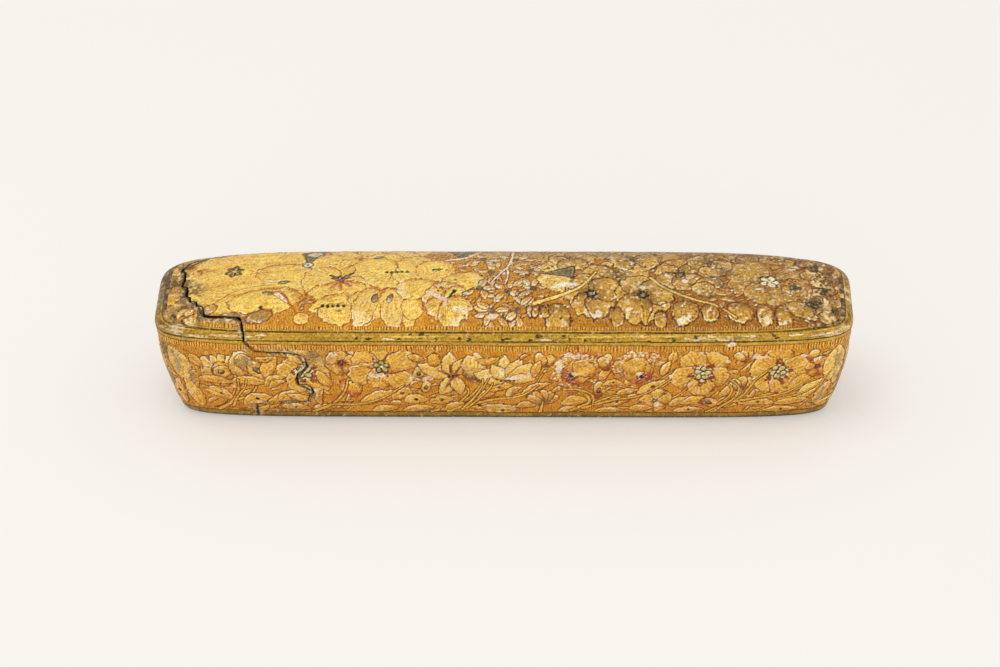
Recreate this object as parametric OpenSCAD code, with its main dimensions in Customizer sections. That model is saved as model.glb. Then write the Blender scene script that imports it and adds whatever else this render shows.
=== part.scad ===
// Lacquered papier-mache pen box (qalamdan) of the drawer kind.
// A hollow case holds a long tray. The tray's head is the left end of the box, and the joint between
// head and case is an interlocking zigzag line. The tray carries a brass inkwell with a hinged lid,
// reed pens, a penknife and a nib plate. Origin: middle of the base, X along the box, Z up.

/* [Box form] */
// Overall length, measured over the gold band
case_l = 235; // [215:1:255]
// Overall width, measured over the gold band
case_w = 52; // [48:1:58]
// Overall height
case_h = 48; // [45:1:52]
// Height of the shoulder, where the box is widest
shoulder_z = 36; // [34:1:38]
// How far the base outline lies inside the shoulder outline
base_inset = 7.5; // [5:0.5:9]
// Rounding of the foot edge
foot_r = 2; // [1:0.25:2.5]
// Exponent of the rounded-rectangle plan, higher is squarer
plan_n = 6.5; // [5:0.5:8]
// Exponent of the outward bow of the walls, 1 is straight
wall_bow = 1.75; // [1.4:0.05:2]
// Papier-mache wall thickness of case and head
wall_t = 3; // [2.5:0.25:3.5]

/* [Gold band] */
// How far the band stands proud of the surface
band_proud = 0.5; // [0.3:0.1:0.8]
// Where the band ends on the dome, as an angle above the shoulder
band_angle = 14; // [10:1:18]

/* [Drawer] */
// Distance from the left end to the case's mouth at the floor
mouth_setback = 34; // [30:1:36]
// Width of the open joint line between head and case
seam_gap = 0.7; // [0.5:0.1:0.9]
// Running clearance between tray and case
slide_gap = 0.35; // [0.3:0.05:0.5]
// Glue line between pieces of the drawer
glue_gap = 0.1; // [0.05:0.05:0.2]
// Thickness of the tray
tray_t = 1.6; // [1.2:0.1:2]
// Height of the tray's rim
rim_z = 28; // [26:1:30]
// Thickness of the partition beside the inkwell
partition_t = 1.6; // [1.2:0.1:2.4]
// Height of the partition above the tray's floor
partition_h = 15; // [12:1:18]

/* [Inkwell] */
// Free width of the floor beside the square brass inkwell
well_play = 2.5; // [1.5:0.25:5]
// Height of the inkwell to its deck
well_h = 12; // [10:0.5:13]
// Brass thickness
well_t = 1.2; // [1:0.1:1.5]
// Rounding of the inkwell's upright corners
well_r = 3; // [2:0.5:4]
// Height of the collar round the mouth
collar_h = 1.6; // [1.2:0.1:2]
// Diameter of the hinge pin
pin_d = 1.2; // [1:0.1:1.4]
// Running clearance of the lid on its pin, on the radius
pin_gap = 0.05; // [0.03:0.01:0.08]
// Rise of the lid's dome
lid_rise = 1.8; // [1:0.1:2]

/* [Writing tools] */
// Side play of the row of tools on the tray's floor
tool_play = 1; // [0.5:0.1:2]
// How much thinner each next pen is
pen_step = 0.5; // [0.25:0.05:0.75]
// Free space between a tool and its neighbours
tool_gap = 0.4; // [0.3:0.1:0.6]
// Length of the cut nib
nib_l = 15; // [12:1:18]
// How much thinner the penknife handle is than the thickest pen
handle_less = 1.1; // [0.5:0.1:1.5]
// Length of the penknife blade
blade_l = 42; // [36:1:50]
// Width of the nib plate
plate_w = 13; // [11:0.5:14]
// Thickness of the nib plate
plate_t = 2.4; // [2:0.1:3]

/* [Hidden] */

$fn = 64;
ring_points = 72;
foot_rings = 3;
wall_rings = 6;
dome_rings = 9;
band_rings = 4;
profile_steps = 8;
eps = 0.01;

// The band's own thickness is part of the overall sizes.
half_l = case_l / 2 - band_proud;
half_w = case_w / 2 - band_proud;
rise = case_h - shoulder_z;

// Height of the line from which the zigzag joint is laid out by angle
seam_axis_z = case_h / 2;
// Arc length of one degree of the joint line at the walls
seam_mm_per_deg = case_w / 2 * PI / 180;
seam_core_r = 5;
seam_reach = case_l;

// The joint line as [angle up from the front horizontal, distance from the left end].
// The wall stretch serves front and back alike, and the crest stretch runs from front to back.
seam_wall = [
    [-90, mouth_setback], [-47, mouth_setback], [-40, mouth_setback],
    [-35.5, 51.5], [-25, 53.5], [-15.5, 48.5], [-10, 48], [3.5, 52],
    [14.5, 48.5], [15.5, 38.5], [16.5, 34.5], [20, 32.5], [25, 31],
    [32, 30.5], [40, 29.5], [42, 17.5]
];
seam_crest = [
    [54, 14.5], [61, 12], [71, 10.5], [81, 10.5], [95, 8.5], [107, 9], [128, 7.5]
];
seam_back = [for (i = [len(seam_wall) - 1 : -1 : 1]) [180 - seam_wall[i][0], seam_wall[i][1]]];
seam_line = concat(seam_wall, seam_crest, seam_back);

// Distance from the outer surface to each face of the drawer
tray_out = wall_t + slide_gap;
tray_in = tray_out + tray_t;
socket_out = tray_out - glue_gap;
floor_z = tray_in;
mouth_x = mouth_setback - case_l / 2;

// Share of the widening from base to shoulder that is reached at height z
function flare(z) = 1 - pow(1 - min(max(z / shoulder_z, 0), 1), wall_bow);
function long_half(z) = half_l - base_inset * (1 - flare(z));
function wide_half(z) = half_w - base_inset * (1 - flare(z));

// Half width of the case's bore at its mouth, the narrowest place that the tray has to pass
function mouth_share(z, inset) =
    pow(1 - pow(-mouth_x / (long_half(z) - inset), plan_n), 1 / plan_n);
function bore_half(z, inset) =
    mouth_share(z, wall_t) * (wide_half(z) - wall_t) - (inset - wall_t);

// Points of the rounded-rectangle plan with half sizes a and b, at height z
function signed_pow(v, p) = sign(v) * pow(abs(v), p);
function plan_ring(a, b, z) = [
    for (i = [0 : ring_points - 1])
        let (t = 360 * i / ring_points)
        [a * signed_pow(cos(t), 2 / plan_n), b * signed_pow(sin(t), 2 / plan_n), z]
];

// Rings of the box's form, taken in by inset all round: foot arc, bowed wall, then dome
function foot_ring(turn, inset) =
    let (z = inset + foot_r * (1 - cos(turn)), in = inset + foot_r * (1 - sin(turn)))
    plan_ring(long_half(z) - in, wide_half(z) - in, z);
function wall_ring(z, inset) = plan_ring(long_half(z) - inset, wide_half(z) - inset, z);
function dome_ring(turn, inset, proud = 0) =
    let (share = cos(turn))
    plan_ring(
        (half_l - inset + proud) * share, (half_w - inset + proud) * share,
        shoulder_z + (rise - inset + proud) * sin(turn)
    );
function form_rings(inset, proud = 0) = concat(
    [for (i = [0 : foot_rings - 1]) foot_ring(90 * i / foot_rings, inset)],
    [for (i = [0 : wall_rings]) wall_ring(
        inset + foot_r + (shoulder_z - inset - foot_r) * i / wall_rings, inset)],
    proud > 0 ? [for (i = [0 : band_rings]) dome_ring(
        1 + (band_angle - 2) * i / band_rings, inset, proud)] : [],
    [for (i = [0 : dome_rings - 1]) dome_ring(
        band_angle + (88 - band_angle) * i / (dome_rings - 1), inset)]
);

// Solid skinned over rings of equal length
module loft(rings) {
    n = len(rings[0]);
    last = len(rings) - 1;
    points = [for (ring = rings) each ring];
    sides = [
        for (j = [0 : last - 1], i = [0 : n - 1])
            let (k = (i + 1) % n)
            each [[j * n + i, (j + 1) * n + i, (j + 1) * n + k], [j * n + i, (j + 1) * n + k, j * n + k]]
    ];
    foot = [[for (i = [0 : n - 1]) i]];
    crest = [[for (i = [n - 1 : -1 : 0]) last * n + i]];
    polyhedron(points = points, faces = concat(foot, sides, crest));
}

module box_form(inset = 0, proud = 0) {
    loft(form_rings(inset, proud));
}

// The joint line shifted sideways by d, towards the case where d is positive
function seam_flat(i) =
    let (p = seam_line[(i + len(seam_line)) % len(seam_line)],
        turns = floor(i / len(seam_line)))
    [(p[0] + 360 * turns) * seam_mm_per_deg, p[1]];
function seam_normal(i) =
    let (d = seam_flat(i + 1) - seam_flat(i))
    [-d[1], d[0]] / norm(d);
function seam_shifted(d) = [
    for (i = [0 : len(seam_line) - 1])
        let (m = seam_normal(i - 1), n = seam_normal(i), p = seam_flat(i) + d * (m + n) / (1 + m * n))
        [p[0] / seam_mm_per_deg, p[1] - case_l / 2]
];
function seam_ring(line, r, x) = [
    for (p = line) [x == undef ? p[1] : x, -r * cos(p[0]), seam_axis_z + r * sin(p[0])]
];

// Everything on the head's side of the joint line
module head_side(shift) {
    line = seam_shifted(shift);
    n = len(line);
    points = concat(
        seam_ring(line, seam_core_r), seam_ring(line, seam_reach),
        seam_ring(line, seam_reach, -case_l),
        [[mouth_x, 0, seam_axis_z], [-case_l, 0, seam_axis_z]]
    );
    faces = [
        for (i = [0 : n - 1])
            let (k = (i + 1) % n)
            each [
                [3 * n, i, k],
                [i, n + k, k], [i, n + i, n + k],
                [n + i, 2 * n + k, n + k], [n + i, 2 * n + i, 2 * n + k],
                [3 * n + 1, 2 * n + k, 2 * n + i]
            ]
    ];
    polyhedron(points = points, faces = faces);
}

// Cross-section of the drawer, taken in by inset, with its sides carried straight up to top_z
module drawer_section(inset, top_z) {
    foot_z = inset + foot_r;
    corner = [
        for (i = [0 : foot_rings - 1])
            let (turn = 90 * i / foot_rings, z = inset + foot_r * (1 - cos(turn)))
            [bore_half(z, inset) - foot_r * (1 - sin(turn)), z]
    ];
    side = [
        for (i = [0 : profile_steps])
            let (z = foot_z + (rim_z - foot_z) * i / profile_steps)
            [bore_half(z, inset), z]
    ];
    right = concat(corner, side, [[side[profile_steps][0], top_z]]);
    left = [for (i = [len(right) - 1 : -1 : 0]) [-right[i][0], right[i][1]]];
    polygon(concat(right, left));
}

module along_box(length) {
    translate([-length / 2, 0, 0]) rotate([90, 0, 90]) linear_extrude(length) children();
}

module drawer_form(inset, top_z) {
    intersection() {
        box_form(inset);
        along_box(case_l) drawer_section(inset, top_z);
    }
}

module case_shell() {
    color("goldenrod") difference() {
        box_form(0, band_proud);
        box_form(wall_t);
        head_side(seam_gap / 2);
    }
}

module drawer_head() {
    color("darkgoldenrod") difference() {
        intersection() {
            box_form(0, band_proud);
            head_side(-seam_gap / 2);
        }
        drawer_form(socket_out, rim_z);
        intersection() {
            box_form(wall_t);
            translate([-case_l, -case_w, rim_z - eps]) cube([2 * case_l, 2 * case_w, case_h]);
        }
    }
}

module drawer_tray() {
    color("firebrick") difference() {
        drawer_form(tray_out, rim_z);
        drawer_form(tray_in, case_h);
    }
}

// Inkwell place: its left side clears the tray's rounded end by well_end
well_end = 8;
floor_w = 2 * bore_half(floor_z, tray_in);
well_side = floor_w - 2 * foot_r - well_play;
mouth_d = well_side / 2;
well_x = -long_half(floor_z) + tray_in + well_end + well_side / 2;
deck_z = floor_z + well_h;
collar_d = mouth_d + 2 * well_t;
lid_d = collar_d + 2 * well_t;
lid_t = 1;
knuckle_t = 0.8;
knuckle_d = pin_d + 2 * knuckle_t;
knuckle_l = well_side / 5;
knuckle_play = 0.15;
plug_depth = 0.8;
plug_play = 0.3;
lid_z = deck_z + collar_h + knuckle_play;
pin_x = well_x - lid_d / 2 - knuckle_d / 2 - knuckle_play;
pin_z = lid_z + lid_t / 2;
pin_l = 3 * knuckle_l + 2 * knuckle_play;

partition_x = well_x + well_side / 2 + tool_gap;
tools_x = partition_x + partition_t;

module tray_partition() {
    color("sienna") translate([partition_x, 0, 0]) rotate([90, 0, 90]) linear_extrude(partition_t)
        intersection() {
            drawer_section(tray_in + glue_gap, rim_z);
            translate([-case_w, 0]) square([2 * case_w, floor_z + partition_h]);
        }
}

module rounded_block(side, r, h) {
    union() {
        translate([-side / 2 + r, -side / 2, 0]) cube([side - 2 * r, side, h]);
        translate([-side / 2, -side / 2 + r, 0]) cube([side, side - 2 * r, h]);
        for (sx = [-1, 1], sy = [-1, 1])
            translate([sx * (side / 2 - r), sy * (side / 2 - r), 0]) cylinder(h = h, r = r);
    }
}

// A knuckle with its foot, bored for the pin, centred on the pin's axis
module knuckle(length, bore_d, foot_h) {
    difference() {
        union() {
            rotate([90, 0, 0]) cylinder(h = length, d = knuckle_d, center = true);
            translate([-knuckle_d / 2, -length / 2, -foot_h]) cube([knuckle_d, length, foot_h]);
        }
        rotate([90, 0, 0]) cylinder(h = 2 * length, d = bore_d, center = true);
    }
}

module inkwell_body() {
    color("peru") union() {
        difference() {
            translate([well_x, 0, floor_z]) rounded_block(well_side, well_r, well_h);
            translate([well_x, 0, floor_z + well_t])
                rounded_block(well_side - 2 * well_t, well_r - well_t, well_h - 2 * well_t);
            translate([well_x, 0, floor_z + well_t]) cylinder(h = well_h, d = mouth_d);
        }
        translate([well_x, 0, deck_z]) difference() {
            cylinder(h = collar_h, d = collar_d);
            translate([0, 0, -eps]) cylinder(h = collar_h + 2 * eps, d = mouth_d);
        }
        for (side = [-1, 1])
            translate([pin_x, side * (knuckle_l + knuckle_play), pin_z])
                knuckle(knuckle_l, pin_d, pin_z - deck_z);
    }
}

// Lid: a domed disc with a locating plug below, an arm to its knuckle and a thumb tab
module inkwell_lid() {
    lid_r = lid_d / 2;
    plug_r = mouth_d / 2 - plug_play;
    crown_r = (lid_r * lid_r + lid_rise * lid_rise) / (2 * lid_rise);
    crown_turn = asin(lid_r / crown_r);
    crown = [
        for (i = [0 : profile_steps])
            let (turn = crown_turn * (1 - i / profile_steps))
            [crown_r * sin(turn), lid_t + lid_rise - crown_r * (1 - cos(turn))]
    ];
    arm_l = well_x - lid_r - pin_x + well_t;
    color("gold") difference() {
        union() {
            translate([well_x, 0, lid_z]) rotate_extrude() polygon(concat(
                [[0, -plug_depth], [plug_r, -plug_depth], [plug_r, 0], [lid_r, 0]], crown));
            translate([well_x + lid_r - well_t, -well_t, lid_z]) cube([2 * well_t, 2 * well_t, lid_t * 0.8]);
            translate([pin_x, -knuckle_l / 2, lid_z]) cube([arm_l, knuckle_l, lid_t * 0.8]);
            translate([pin_x, 0, pin_z]) rotate([90, 0, 0])
                cylinder(h = knuckle_l, d = knuckle_d, center = true);
        }
        translate([pin_x, 0, pin_z]) rotate([90, 0, 0])
            cylinder(h = 2 * knuckle_l, d = pin_d + 2 * pin_gap, center = true);
    }
}

module inkwell_hinge_pin() {
    color("saddlebrown") translate([pin_x, 0, pin_z]) rotate([90, 0, 0])
        cylinder(h = pin_l, d = pin_d, center = true);
}

// Writing tools lie side by side on the tray's floor, from the front wall to the back wall.
lay_gap = 0.15;
tools_end = long_half(floor_z) - tray_in - well_end;
tools_l = tools_end - tools_x;
// Three pens and the knife share the width of the floor.
pen_d = (floor_w - tool_play - 3 * tool_gap + 3 * pen_step + handle_less) / 4;
handle_d = pen_d - handle_less;
pen_ds = [pen_d, pen_d - pen_step, pen_d - 2 * pen_step];
pen_shortfalls = [6, 12, 20];
row_w = pen_ds[0] + pen_ds[1] + pen_ds[2] + handle_d + 3 * tool_gap;
function pen_y(i) = -row_w / 2 + pen_ds[i] / 2 + (i > 0 ? pen_ds[0] + tool_gap : 0)
    + (i > 1 ? pen_ds[1] + tool_gap : 0);
handle_y = row_w / 2 - handle_d / 2;

// A cut reed: hollow, with a swelling at the joint of the stem and a scooped, slit nib
module reed_pen(d, length) {
    wall = d / 5;
    node_at = length * 0.62;
    node_w = d * 0.7;
    node_proud = d * 0.05;
    nib_w = d * 0.42;
    scoop_r = nib_l * 1.6;
    difference() {
        rotate_extrude() union() {
            square([d / 2, length]);
            translate([0, node_at]) polygon([
                [0, 0], [d / 2, 0], [d / 2 + node_proud, node_w * 0.4],
                [d / 2 + node_proud, node_w * 0.6], [d / 2, node_w], [0, node_w]
            ]);
        }
        translate([0, 0, -eps]) cylinder(h = node_at, d = d - 2 * wall);
        translate([0, 0, node_at + node_w]) cylinder(h = length, d = d - 2 * wall);
        // scoop that leaves the lower third of the tube as the nib
        translate([0, d / 2 + scoop_r - d * 0.62, nib_l * 0.15]) rotate([0, 90, 0])
            cylinder(h = 2 * d, r = scoop_r, center = true);
        translate([-d, -d * 0.12, -eps]) cube([2 * d, 2 * d, nib_l * 0.3]);
        for (side = [-1, 1])
            translate([side * (nib_w / 2 + d / 2), 0, nib_l * 0.25])
                cube([d, 2 * d, nib_l * 0.5 + 2 * eps], center = true);
        translate([0, -d / 2, 0]) cube([0.3, d, nib_l * 0.8], center = true);
    }
}

module laid_pen(i) {
    translate([tools_end, pen_y(i), floor_z + lay_gap + pen_ds[i] / 2 * 1.1])
        rotate([0, -90, 0]) rotate([0, 0, -90]) reed_pen(pen_ds[i], tools_l - pen_shortfalls[i]);
}

module reed_pen_broad() { color("tan") laid_pen(0); }
module reed_pen_middle() { color("burlywood") laid_pen(1); }
module reed_pen_fine() { color("wheat") laid_pen(2); }

// Penknife: turned handle, brass ferrule and a straight-backed blade pointing to the inkwell
ferrule_l = 7;
tang_l = 12;
tang_t = 1;
blade_w = handle_d * 0.72;
knife_z = floor_z + lay_gap + handle_d / 2;
handle_l = tools_l - blade_l - ferrule_l - pen_shortfalls[1];
handle_x = tools_end - handle_l;

module turned(profile) {
    rotate([0, 90, 0]) rotate_extrude() polygon(profile);
}

module penknife_handle() {
    r = handle_d / 2;
    color("ivory") translate([handle_x, handle_y, knife_z]) difference() {
        turned([
            [0, 0], [r * 0.8, 0], [r * 0.84, handle_l * 0.3], [r, handle_l * 0.8],
            [r * 0.9, handle_l * 0.94], [r * 0.55, handle_l], [0, handle_l]
        ]);
        translate([-eps, -tang_t / 2 - glue_gap, -blade_w / 4])
            cube([tang_l + 2 * glue_gap, tang_t + 2 * glue_gap, blade_w / 2]);
    }
}

module penknife_ferrule() {
    r = handle_d / 2;
    color("goldenrod") translate([handle_x - ferrule_l, handle_y, knife_z]) difference() {
        turned([
            [0, 0], [r * 0.7, 0], [r * 0.82, ferrule_l * 0.2], [r * 0.72, ferrule_l * 0.4],
            [r * 0.72, ferrule_l * 0.6], [r * 0.9, ferrule_l * 0.8], [r * 0.9, ferrule_l], [0, ferrule_l]
        ]);
        translate([-eps, -tang_t / 2 - glue_gap, -blade_w / 4])
            cube([ferrule_l + 2 * eps, tang_t + 2 * glue_gap, blade_w / 2]);
    }
}

module penknife_blade() {
    color("lightsteelblue") translate([handle_x - ferrule_l, handle_y, knife_z])
        rotate([90, 0, 0]) linear_extrude(tang_t, center = true) union() {
            polygon([
                [0, -blade_w / 2], [0, blade_w / 2], [-blade_l * 0.7, blade_w / 2],
                [-blade_l, -blade_w * 0.2], [-blade_l * 0.9, -blade_w / 2]
            ]);
            translate([-eps, -blade_w / 4 + glue_gap])
                square([ferrule_l + tang_l, blade_w / 2 - 2 * glue_gap]);
        }
}

// Nib plate: a slip with round ends and a cradle that holds the pen while its nib is cut
plate_l = tools_l * 0.6;
plate_x = tools_x + tools_l * 0.5;
plate_y = (pen_y(0) + pen_y(1)) / 2;
plate_z = floor_z + lay_gap + pen_ds[0] * 1.1 + lay_gap;
cradle_l = 12;
cradle_h = 3;

module nib_plate() {
    straight = plate_l - plate_w;
    color("linen") translate([plate_x, plate_y, plate_z]) difference() {
        union() {
            translate([-straight / 2, -plate_w / 2, 0]) cube([straight, plate_w, plate_t]);
            for (end = [-1, 1]) translate([end * straight / 2, 0, 0]) cylinder(h = plate_t, d = plate_w);
            translate([straight / 2 - cradle_l, -pen_d * 0.6, 0])
                cube([cradle_l, pen_d * 1.2, plate_t + cradle_h]);
        }
        translate([straight / 2 - cradle_l - eps, 0, plate_t + pen_d / 2]) rotate([0, 90, 0])
            cylinder(h = cradle_l + 2 * eps, d = pen_d);
    }
}

case_shell();
drawer_head();
drawer_tray();
tray_partition();
inkwell_body();
inkwell_lid();
inkwell_hinge_pin();
reed_pen_broad();
reed_pen_middle();
reed_pen_fine();
penknife_handle();
penknife_ferrule();
penknife_blade();
nib_plate();
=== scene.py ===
import math
import bpy
import numpy as np
from mathutils import Matrix, Vector


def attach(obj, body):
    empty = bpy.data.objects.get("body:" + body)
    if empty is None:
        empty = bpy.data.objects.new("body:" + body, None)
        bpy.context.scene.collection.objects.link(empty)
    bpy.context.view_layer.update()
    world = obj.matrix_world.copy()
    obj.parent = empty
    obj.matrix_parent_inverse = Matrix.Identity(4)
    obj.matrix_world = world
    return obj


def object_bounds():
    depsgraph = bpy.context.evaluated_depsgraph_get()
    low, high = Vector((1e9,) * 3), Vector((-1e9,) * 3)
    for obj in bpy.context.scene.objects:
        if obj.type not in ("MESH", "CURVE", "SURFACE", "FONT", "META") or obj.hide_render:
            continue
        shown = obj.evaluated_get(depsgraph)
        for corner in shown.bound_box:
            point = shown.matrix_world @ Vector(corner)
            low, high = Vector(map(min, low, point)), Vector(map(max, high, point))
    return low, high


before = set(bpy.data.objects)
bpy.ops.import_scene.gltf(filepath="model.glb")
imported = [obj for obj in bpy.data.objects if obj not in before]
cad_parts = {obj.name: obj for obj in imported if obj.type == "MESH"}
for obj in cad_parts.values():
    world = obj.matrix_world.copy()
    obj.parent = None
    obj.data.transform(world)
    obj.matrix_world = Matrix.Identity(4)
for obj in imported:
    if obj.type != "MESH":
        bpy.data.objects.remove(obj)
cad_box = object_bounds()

# Metres in a millimetre
MM = 0.001

# Overall sizes of the box in millimetres, from the frame, rounded because its facets cut the round edges
CASE_L, CASE_W, CASE_H = (round((high - low) / MM) for low, high in zip(*cad_box))

# Sizes in millimetres that the frame does not hold, the same as in the part's source
SHOULDER_Z = 36.0
BASE_INSET = 7.5
FOOT_R = 2.0
BAND_PROUD = 0.5
SEAM_GAP = 0.7
MOUTH_SETBACK = 34.0

# From there too: the exponents of the plan and of the wall's bow, and the band's upper edge in degrees
PLAN_N = 6.5
WALL_BOW = 1.75
BAND_ANGLE = 14.0

# Half sizes at the shoulder without the band, and the rise of the dome
HALF_L = CASE_L / 2 - BAND_PROUD
HALF_W = CASE_W / 2 - BAND_PROUD
RISE = CASE_H - SHOULDER_Z

# Axis and radius at which the joint line is unrolled, and the radii of the tool that cuts along it
SEAM_AXIS_Z = CASE_H / 2
SEAM_RADIUS = CASE_W / 2
TOOL_INNER = 5.0
TOOL_OUTER = 80.0

# Fineness of the painted skin
COLUMNS = 700
ACROSS = 140
WALL_ROWS = 116
BAND_ROWS = 14
FOOT_ROWS = 4

# Thickness of the skin, height of its lower edge, and the plain form that hollows it out
SKIN_T = 0.3
SKIN_FOOT = 0.1
CORE_FINENESS = (120, 24, 16)
CORE_FOOT = -3.0

# Depth in millimetres under the form up to which a point counts as outside, and how far paint lies above it
OUTSIDE_DEPTH = 0.16
PAINT_LIFT = 0.05

# Rise of the band above the curve of the dome
BAND_LIFT = 0.4

# Pitch in millimetres of the border strokes and of the hatching on the bare ground
TICK_PITCH = 0.92
HATCH_PITCH = 0.95

# Depth inside a shape's edge below which its paint changes nothing, and a depth far from every shape
EDGE_REACH = -1.4
FAR_DEPTH = 99.0

# Exponent of a petal's outline, where 2 would be an ellipse
PETAL_N = 2.2

# Straight pieces between two points of a painted line
CURVE_STEPS = 10

# Points at which a side of the plan is measured
RUN_SAMPLES = 4001

# Cells after which a random field repeats
GRAIN_CELLS = 128

# Direction of the light on the unrolled wall and on the top
WALL_LIGHT = (-0.3, 0.95)
TOP_LIGHT = (-0.3, -0.95)

# Heights on the wall: top of the dark foot, border strokes, gold strip and the line under the band
FOOT_Z = 3.5
TICKS_Z = 31.7
STRIP_Z = 34.3
LINE_Z = 35.45

# The same on the top, as shares of the way from its middle to the shoulder
TICKS_SHARE = 0.928
STRIP_SHARE = 0.9585
LINE_SHARE = 0.9672

# Angles in degrees on the band: its lower line, its upper line and the rim above that
LOWER_LINE = 0.5
UPPER_LINE = 12.7
RIM_ANGLE = BAND_ANGLE


# Form of the box

def flare(z):
    share = np.clip(z / SHOULDER_Z, 0, 1)
    return 1 - (1 - share) ** WALL_BOW


def foot_inset(z):
    drop = np.clip(1 - z / FOOT_R, 0, 1)
    return FOOT_R * (1 - np.sqrt(np.clip(1 - drop ** 2, 0, 1)))


def half_sizes(z):
    taken_in = BASE_INSET * (1 - flare(z)) + foot_inset(z)
    return HALF_L - taken_in, HALF_W - taken_in


def plan_point(xi, eta):
    """Point of the unit rounded rectangle scaled by the larger of the two square coordinates."""
    larger = np.maximum(np.abs(xi), np.abs(eta))
    norm = (np.abs(xi) ** PLAN_N + np.abs(eta) ** PLAN_N) ** (1 / PLAN_N)
    grow = np.where(norm > 1e-9, larger / np.maximum(norm, 1e-9), 1.0)
    return xi * grow, eta * grow


def side_steps(across):
    """Steps across the box that get closer where the dome is steep."""
    widest = math.radians(90 - BAND_ANGLE)
    return np.sin(np.linspace(-widest, widest, across + 1)) / math.sin(widest)


def perimeter(columns, across):
    """Square coordinates once round the plan, starting at the left front corner."""
    along = np.linspace(-1, 1, columns + 1)[:-1]
    side = side_steps(across)[:-1]
    xi = np.concatenate([along, np.ones(across), -along, -np.ones(across)])
    eta = np.concatenate([-np.ones(columns), side, np.ones(columns), -side])
    return xi, eta


def ring(columns, across, a, b, z):
    xi, eta = perimeter(columns, across)
    x, y = plan_point(xi, eta)
    return np.stack([a * x, b * y, np.full(len(x), z)], axis=1)


def form_rings(columns, across, wall_rows, inset, proud, start_z):
    """Rings from the foot to the upper edge of the band."""
    levels = [start_z + (FOOT_R - start_z) * i / FOOT_ROWS for i in range(FOOT_ROWS)]
    levels += [FOOT_R + (SHOULDER_Z - FOOT_R) * i / wall_rows for i in range(wall_rows + 1)]
    rings = []
    for z in levels:
        a, b = half_sizes(z)
        rings.append(ring(columns, across, a - inset, b - inset, z))
    for i in range(1, BAND_ROWS):
        turn = math.radians(BAND_ANGLE * i / BAND_ROWS)
        step = min(i, BAND_ROWS - i) * BAND_ANGLE / BAND_ROWS
        out = proud * min(1.0, step) - inset
        rings.append(ring(
            columns, across, (HALF_L + out) * math.cos(turn), (HALF_W + out) * math.cos(turn),
            SHOULDER_Z + (RISE + out) * math.sin(turn)))
    return rings


def add_object(name, data):
    obj = bpy.data.objects.new(name, data)
    bpy.context.scene.collection.objects.link(obj)
    return obj


def quad_mesh(name, points, quads, base):
    """Object of four-sided faces and one base with many sides."""
    corners = np.concatenate([quads.reshape(-1), base])
    starts = np.arange(len(quads) + 1) * 4
    mesh = bpy.data.meshes.new(name)
    mesh.vertices.add(len(points))
    mesh.vertices.foreach_set("co", (points * MM).astype(np.float32).reshape(-1))
    mesh.loops.add(len(corners))
    mesh.loops.foreach_set("vertex_index", corners.astype(np.int32))
    mesh.polygons.add(len(starts))
    mesh.polygons.foreach_set("loop_start", starts.astype(np.int32))
    mesh.update(calc_edges=True)
    mesh.validate()
    return add_object(name, mesh)


def strip(low, high):
    """Four-sided faces between two closed rows of points."""
    return np.stack([low, np.roll(low, -1), np.roll(high, -1), high], axis=1)


def form_mesh(name, columns, across, wall_rows, inset, proud, start_z):
    """Closed mesh of the box's form: rings for foot, wall and band, and a grid for the dome."""
    rings = form_rings(columns, across, wall_rows, inset, proud, start_z)
    rows = np.arange(len(rings) * len(rings[0])).reshape(len(rings), -1)
    faces = [strip(low, high) for low, high in zip(rows, rows[1:])]
    edge = math.cos(math.radians(BAND_ANGLE))
    xi, eta = np.meshgrid(np.linspace(-1, 1, columns + 1), side_steps(across))
    x, y = plan_point(xi, eta)
    share = np.maximum(np.abs(xi), np.abs(eta)) * edge
    z = SHOULDER_Z + (RISE - inset) * np.sqrt(1 - share ** 2)
    dome = np.stack([(HALF_L - inset) * edge * x, (HALF_W - inset) * edge * y, z], axis=2)
    grid = rows.size + np.arange(xi.size).reshape(xi.shape)
    corners = [grid[:-1, :-1], grid[:-1, 1:], grid[1:, 1:], grid[1:, :-1]]
    faces.append(np.stack(corners, axis=2).reshape(-1, 4))
    border = np.concatenate([grid[0, :-1], grid[:-1, -1], grid[-1, :0:-1], grid[:0:-1, 0]])
    faces.append(strip(rows[-1], border))
    points = np.concatenate(rings + [dome.reshape(-1, 3)])
    return quad_mesh(name, points, np.concatenate(faces), rows[0, ::-1])


# The zigzag joint, as in the part's source: degrees up from the front horizontal, mm from the left end

SEAM_WALL = [
    (-90, MOUTH_SETBACK), (-47, MOUTH_SETBACK), (-40, MOUTH_SETBACK),
    (-35.5, 51.5), (-25, 53.5), (-15.5, 48.5), (-10, 48), (3.5, 52),
    (14.5, 48.5), (15.5, 38.5), (16.5, 34.5), (20, 32.5), (25, 31),
    (32, 30.5), (40, 29.5), (42, 17.5),
]
SEAM_CREST = [(54, 14.5), (61, 12), (71, 10.5), (81, 10.5), (95, 8.5), (107, 9), (128, 7.5)]

# Angles between which the front's teeth lie, and the angle from upright beyond which the foot begins
TEETH_ANGLES = (-27, 12)
FOOT_ANGLE = 129

# Share of the gap that the paint leaves open on the wall, what teeth and top add, and what the foot takes
WALL_OPEN = 0.5
TEETH_OPEN = 0.35
TOP_OPEN = 0.9
FOOT_SHUT = 0.38


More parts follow.
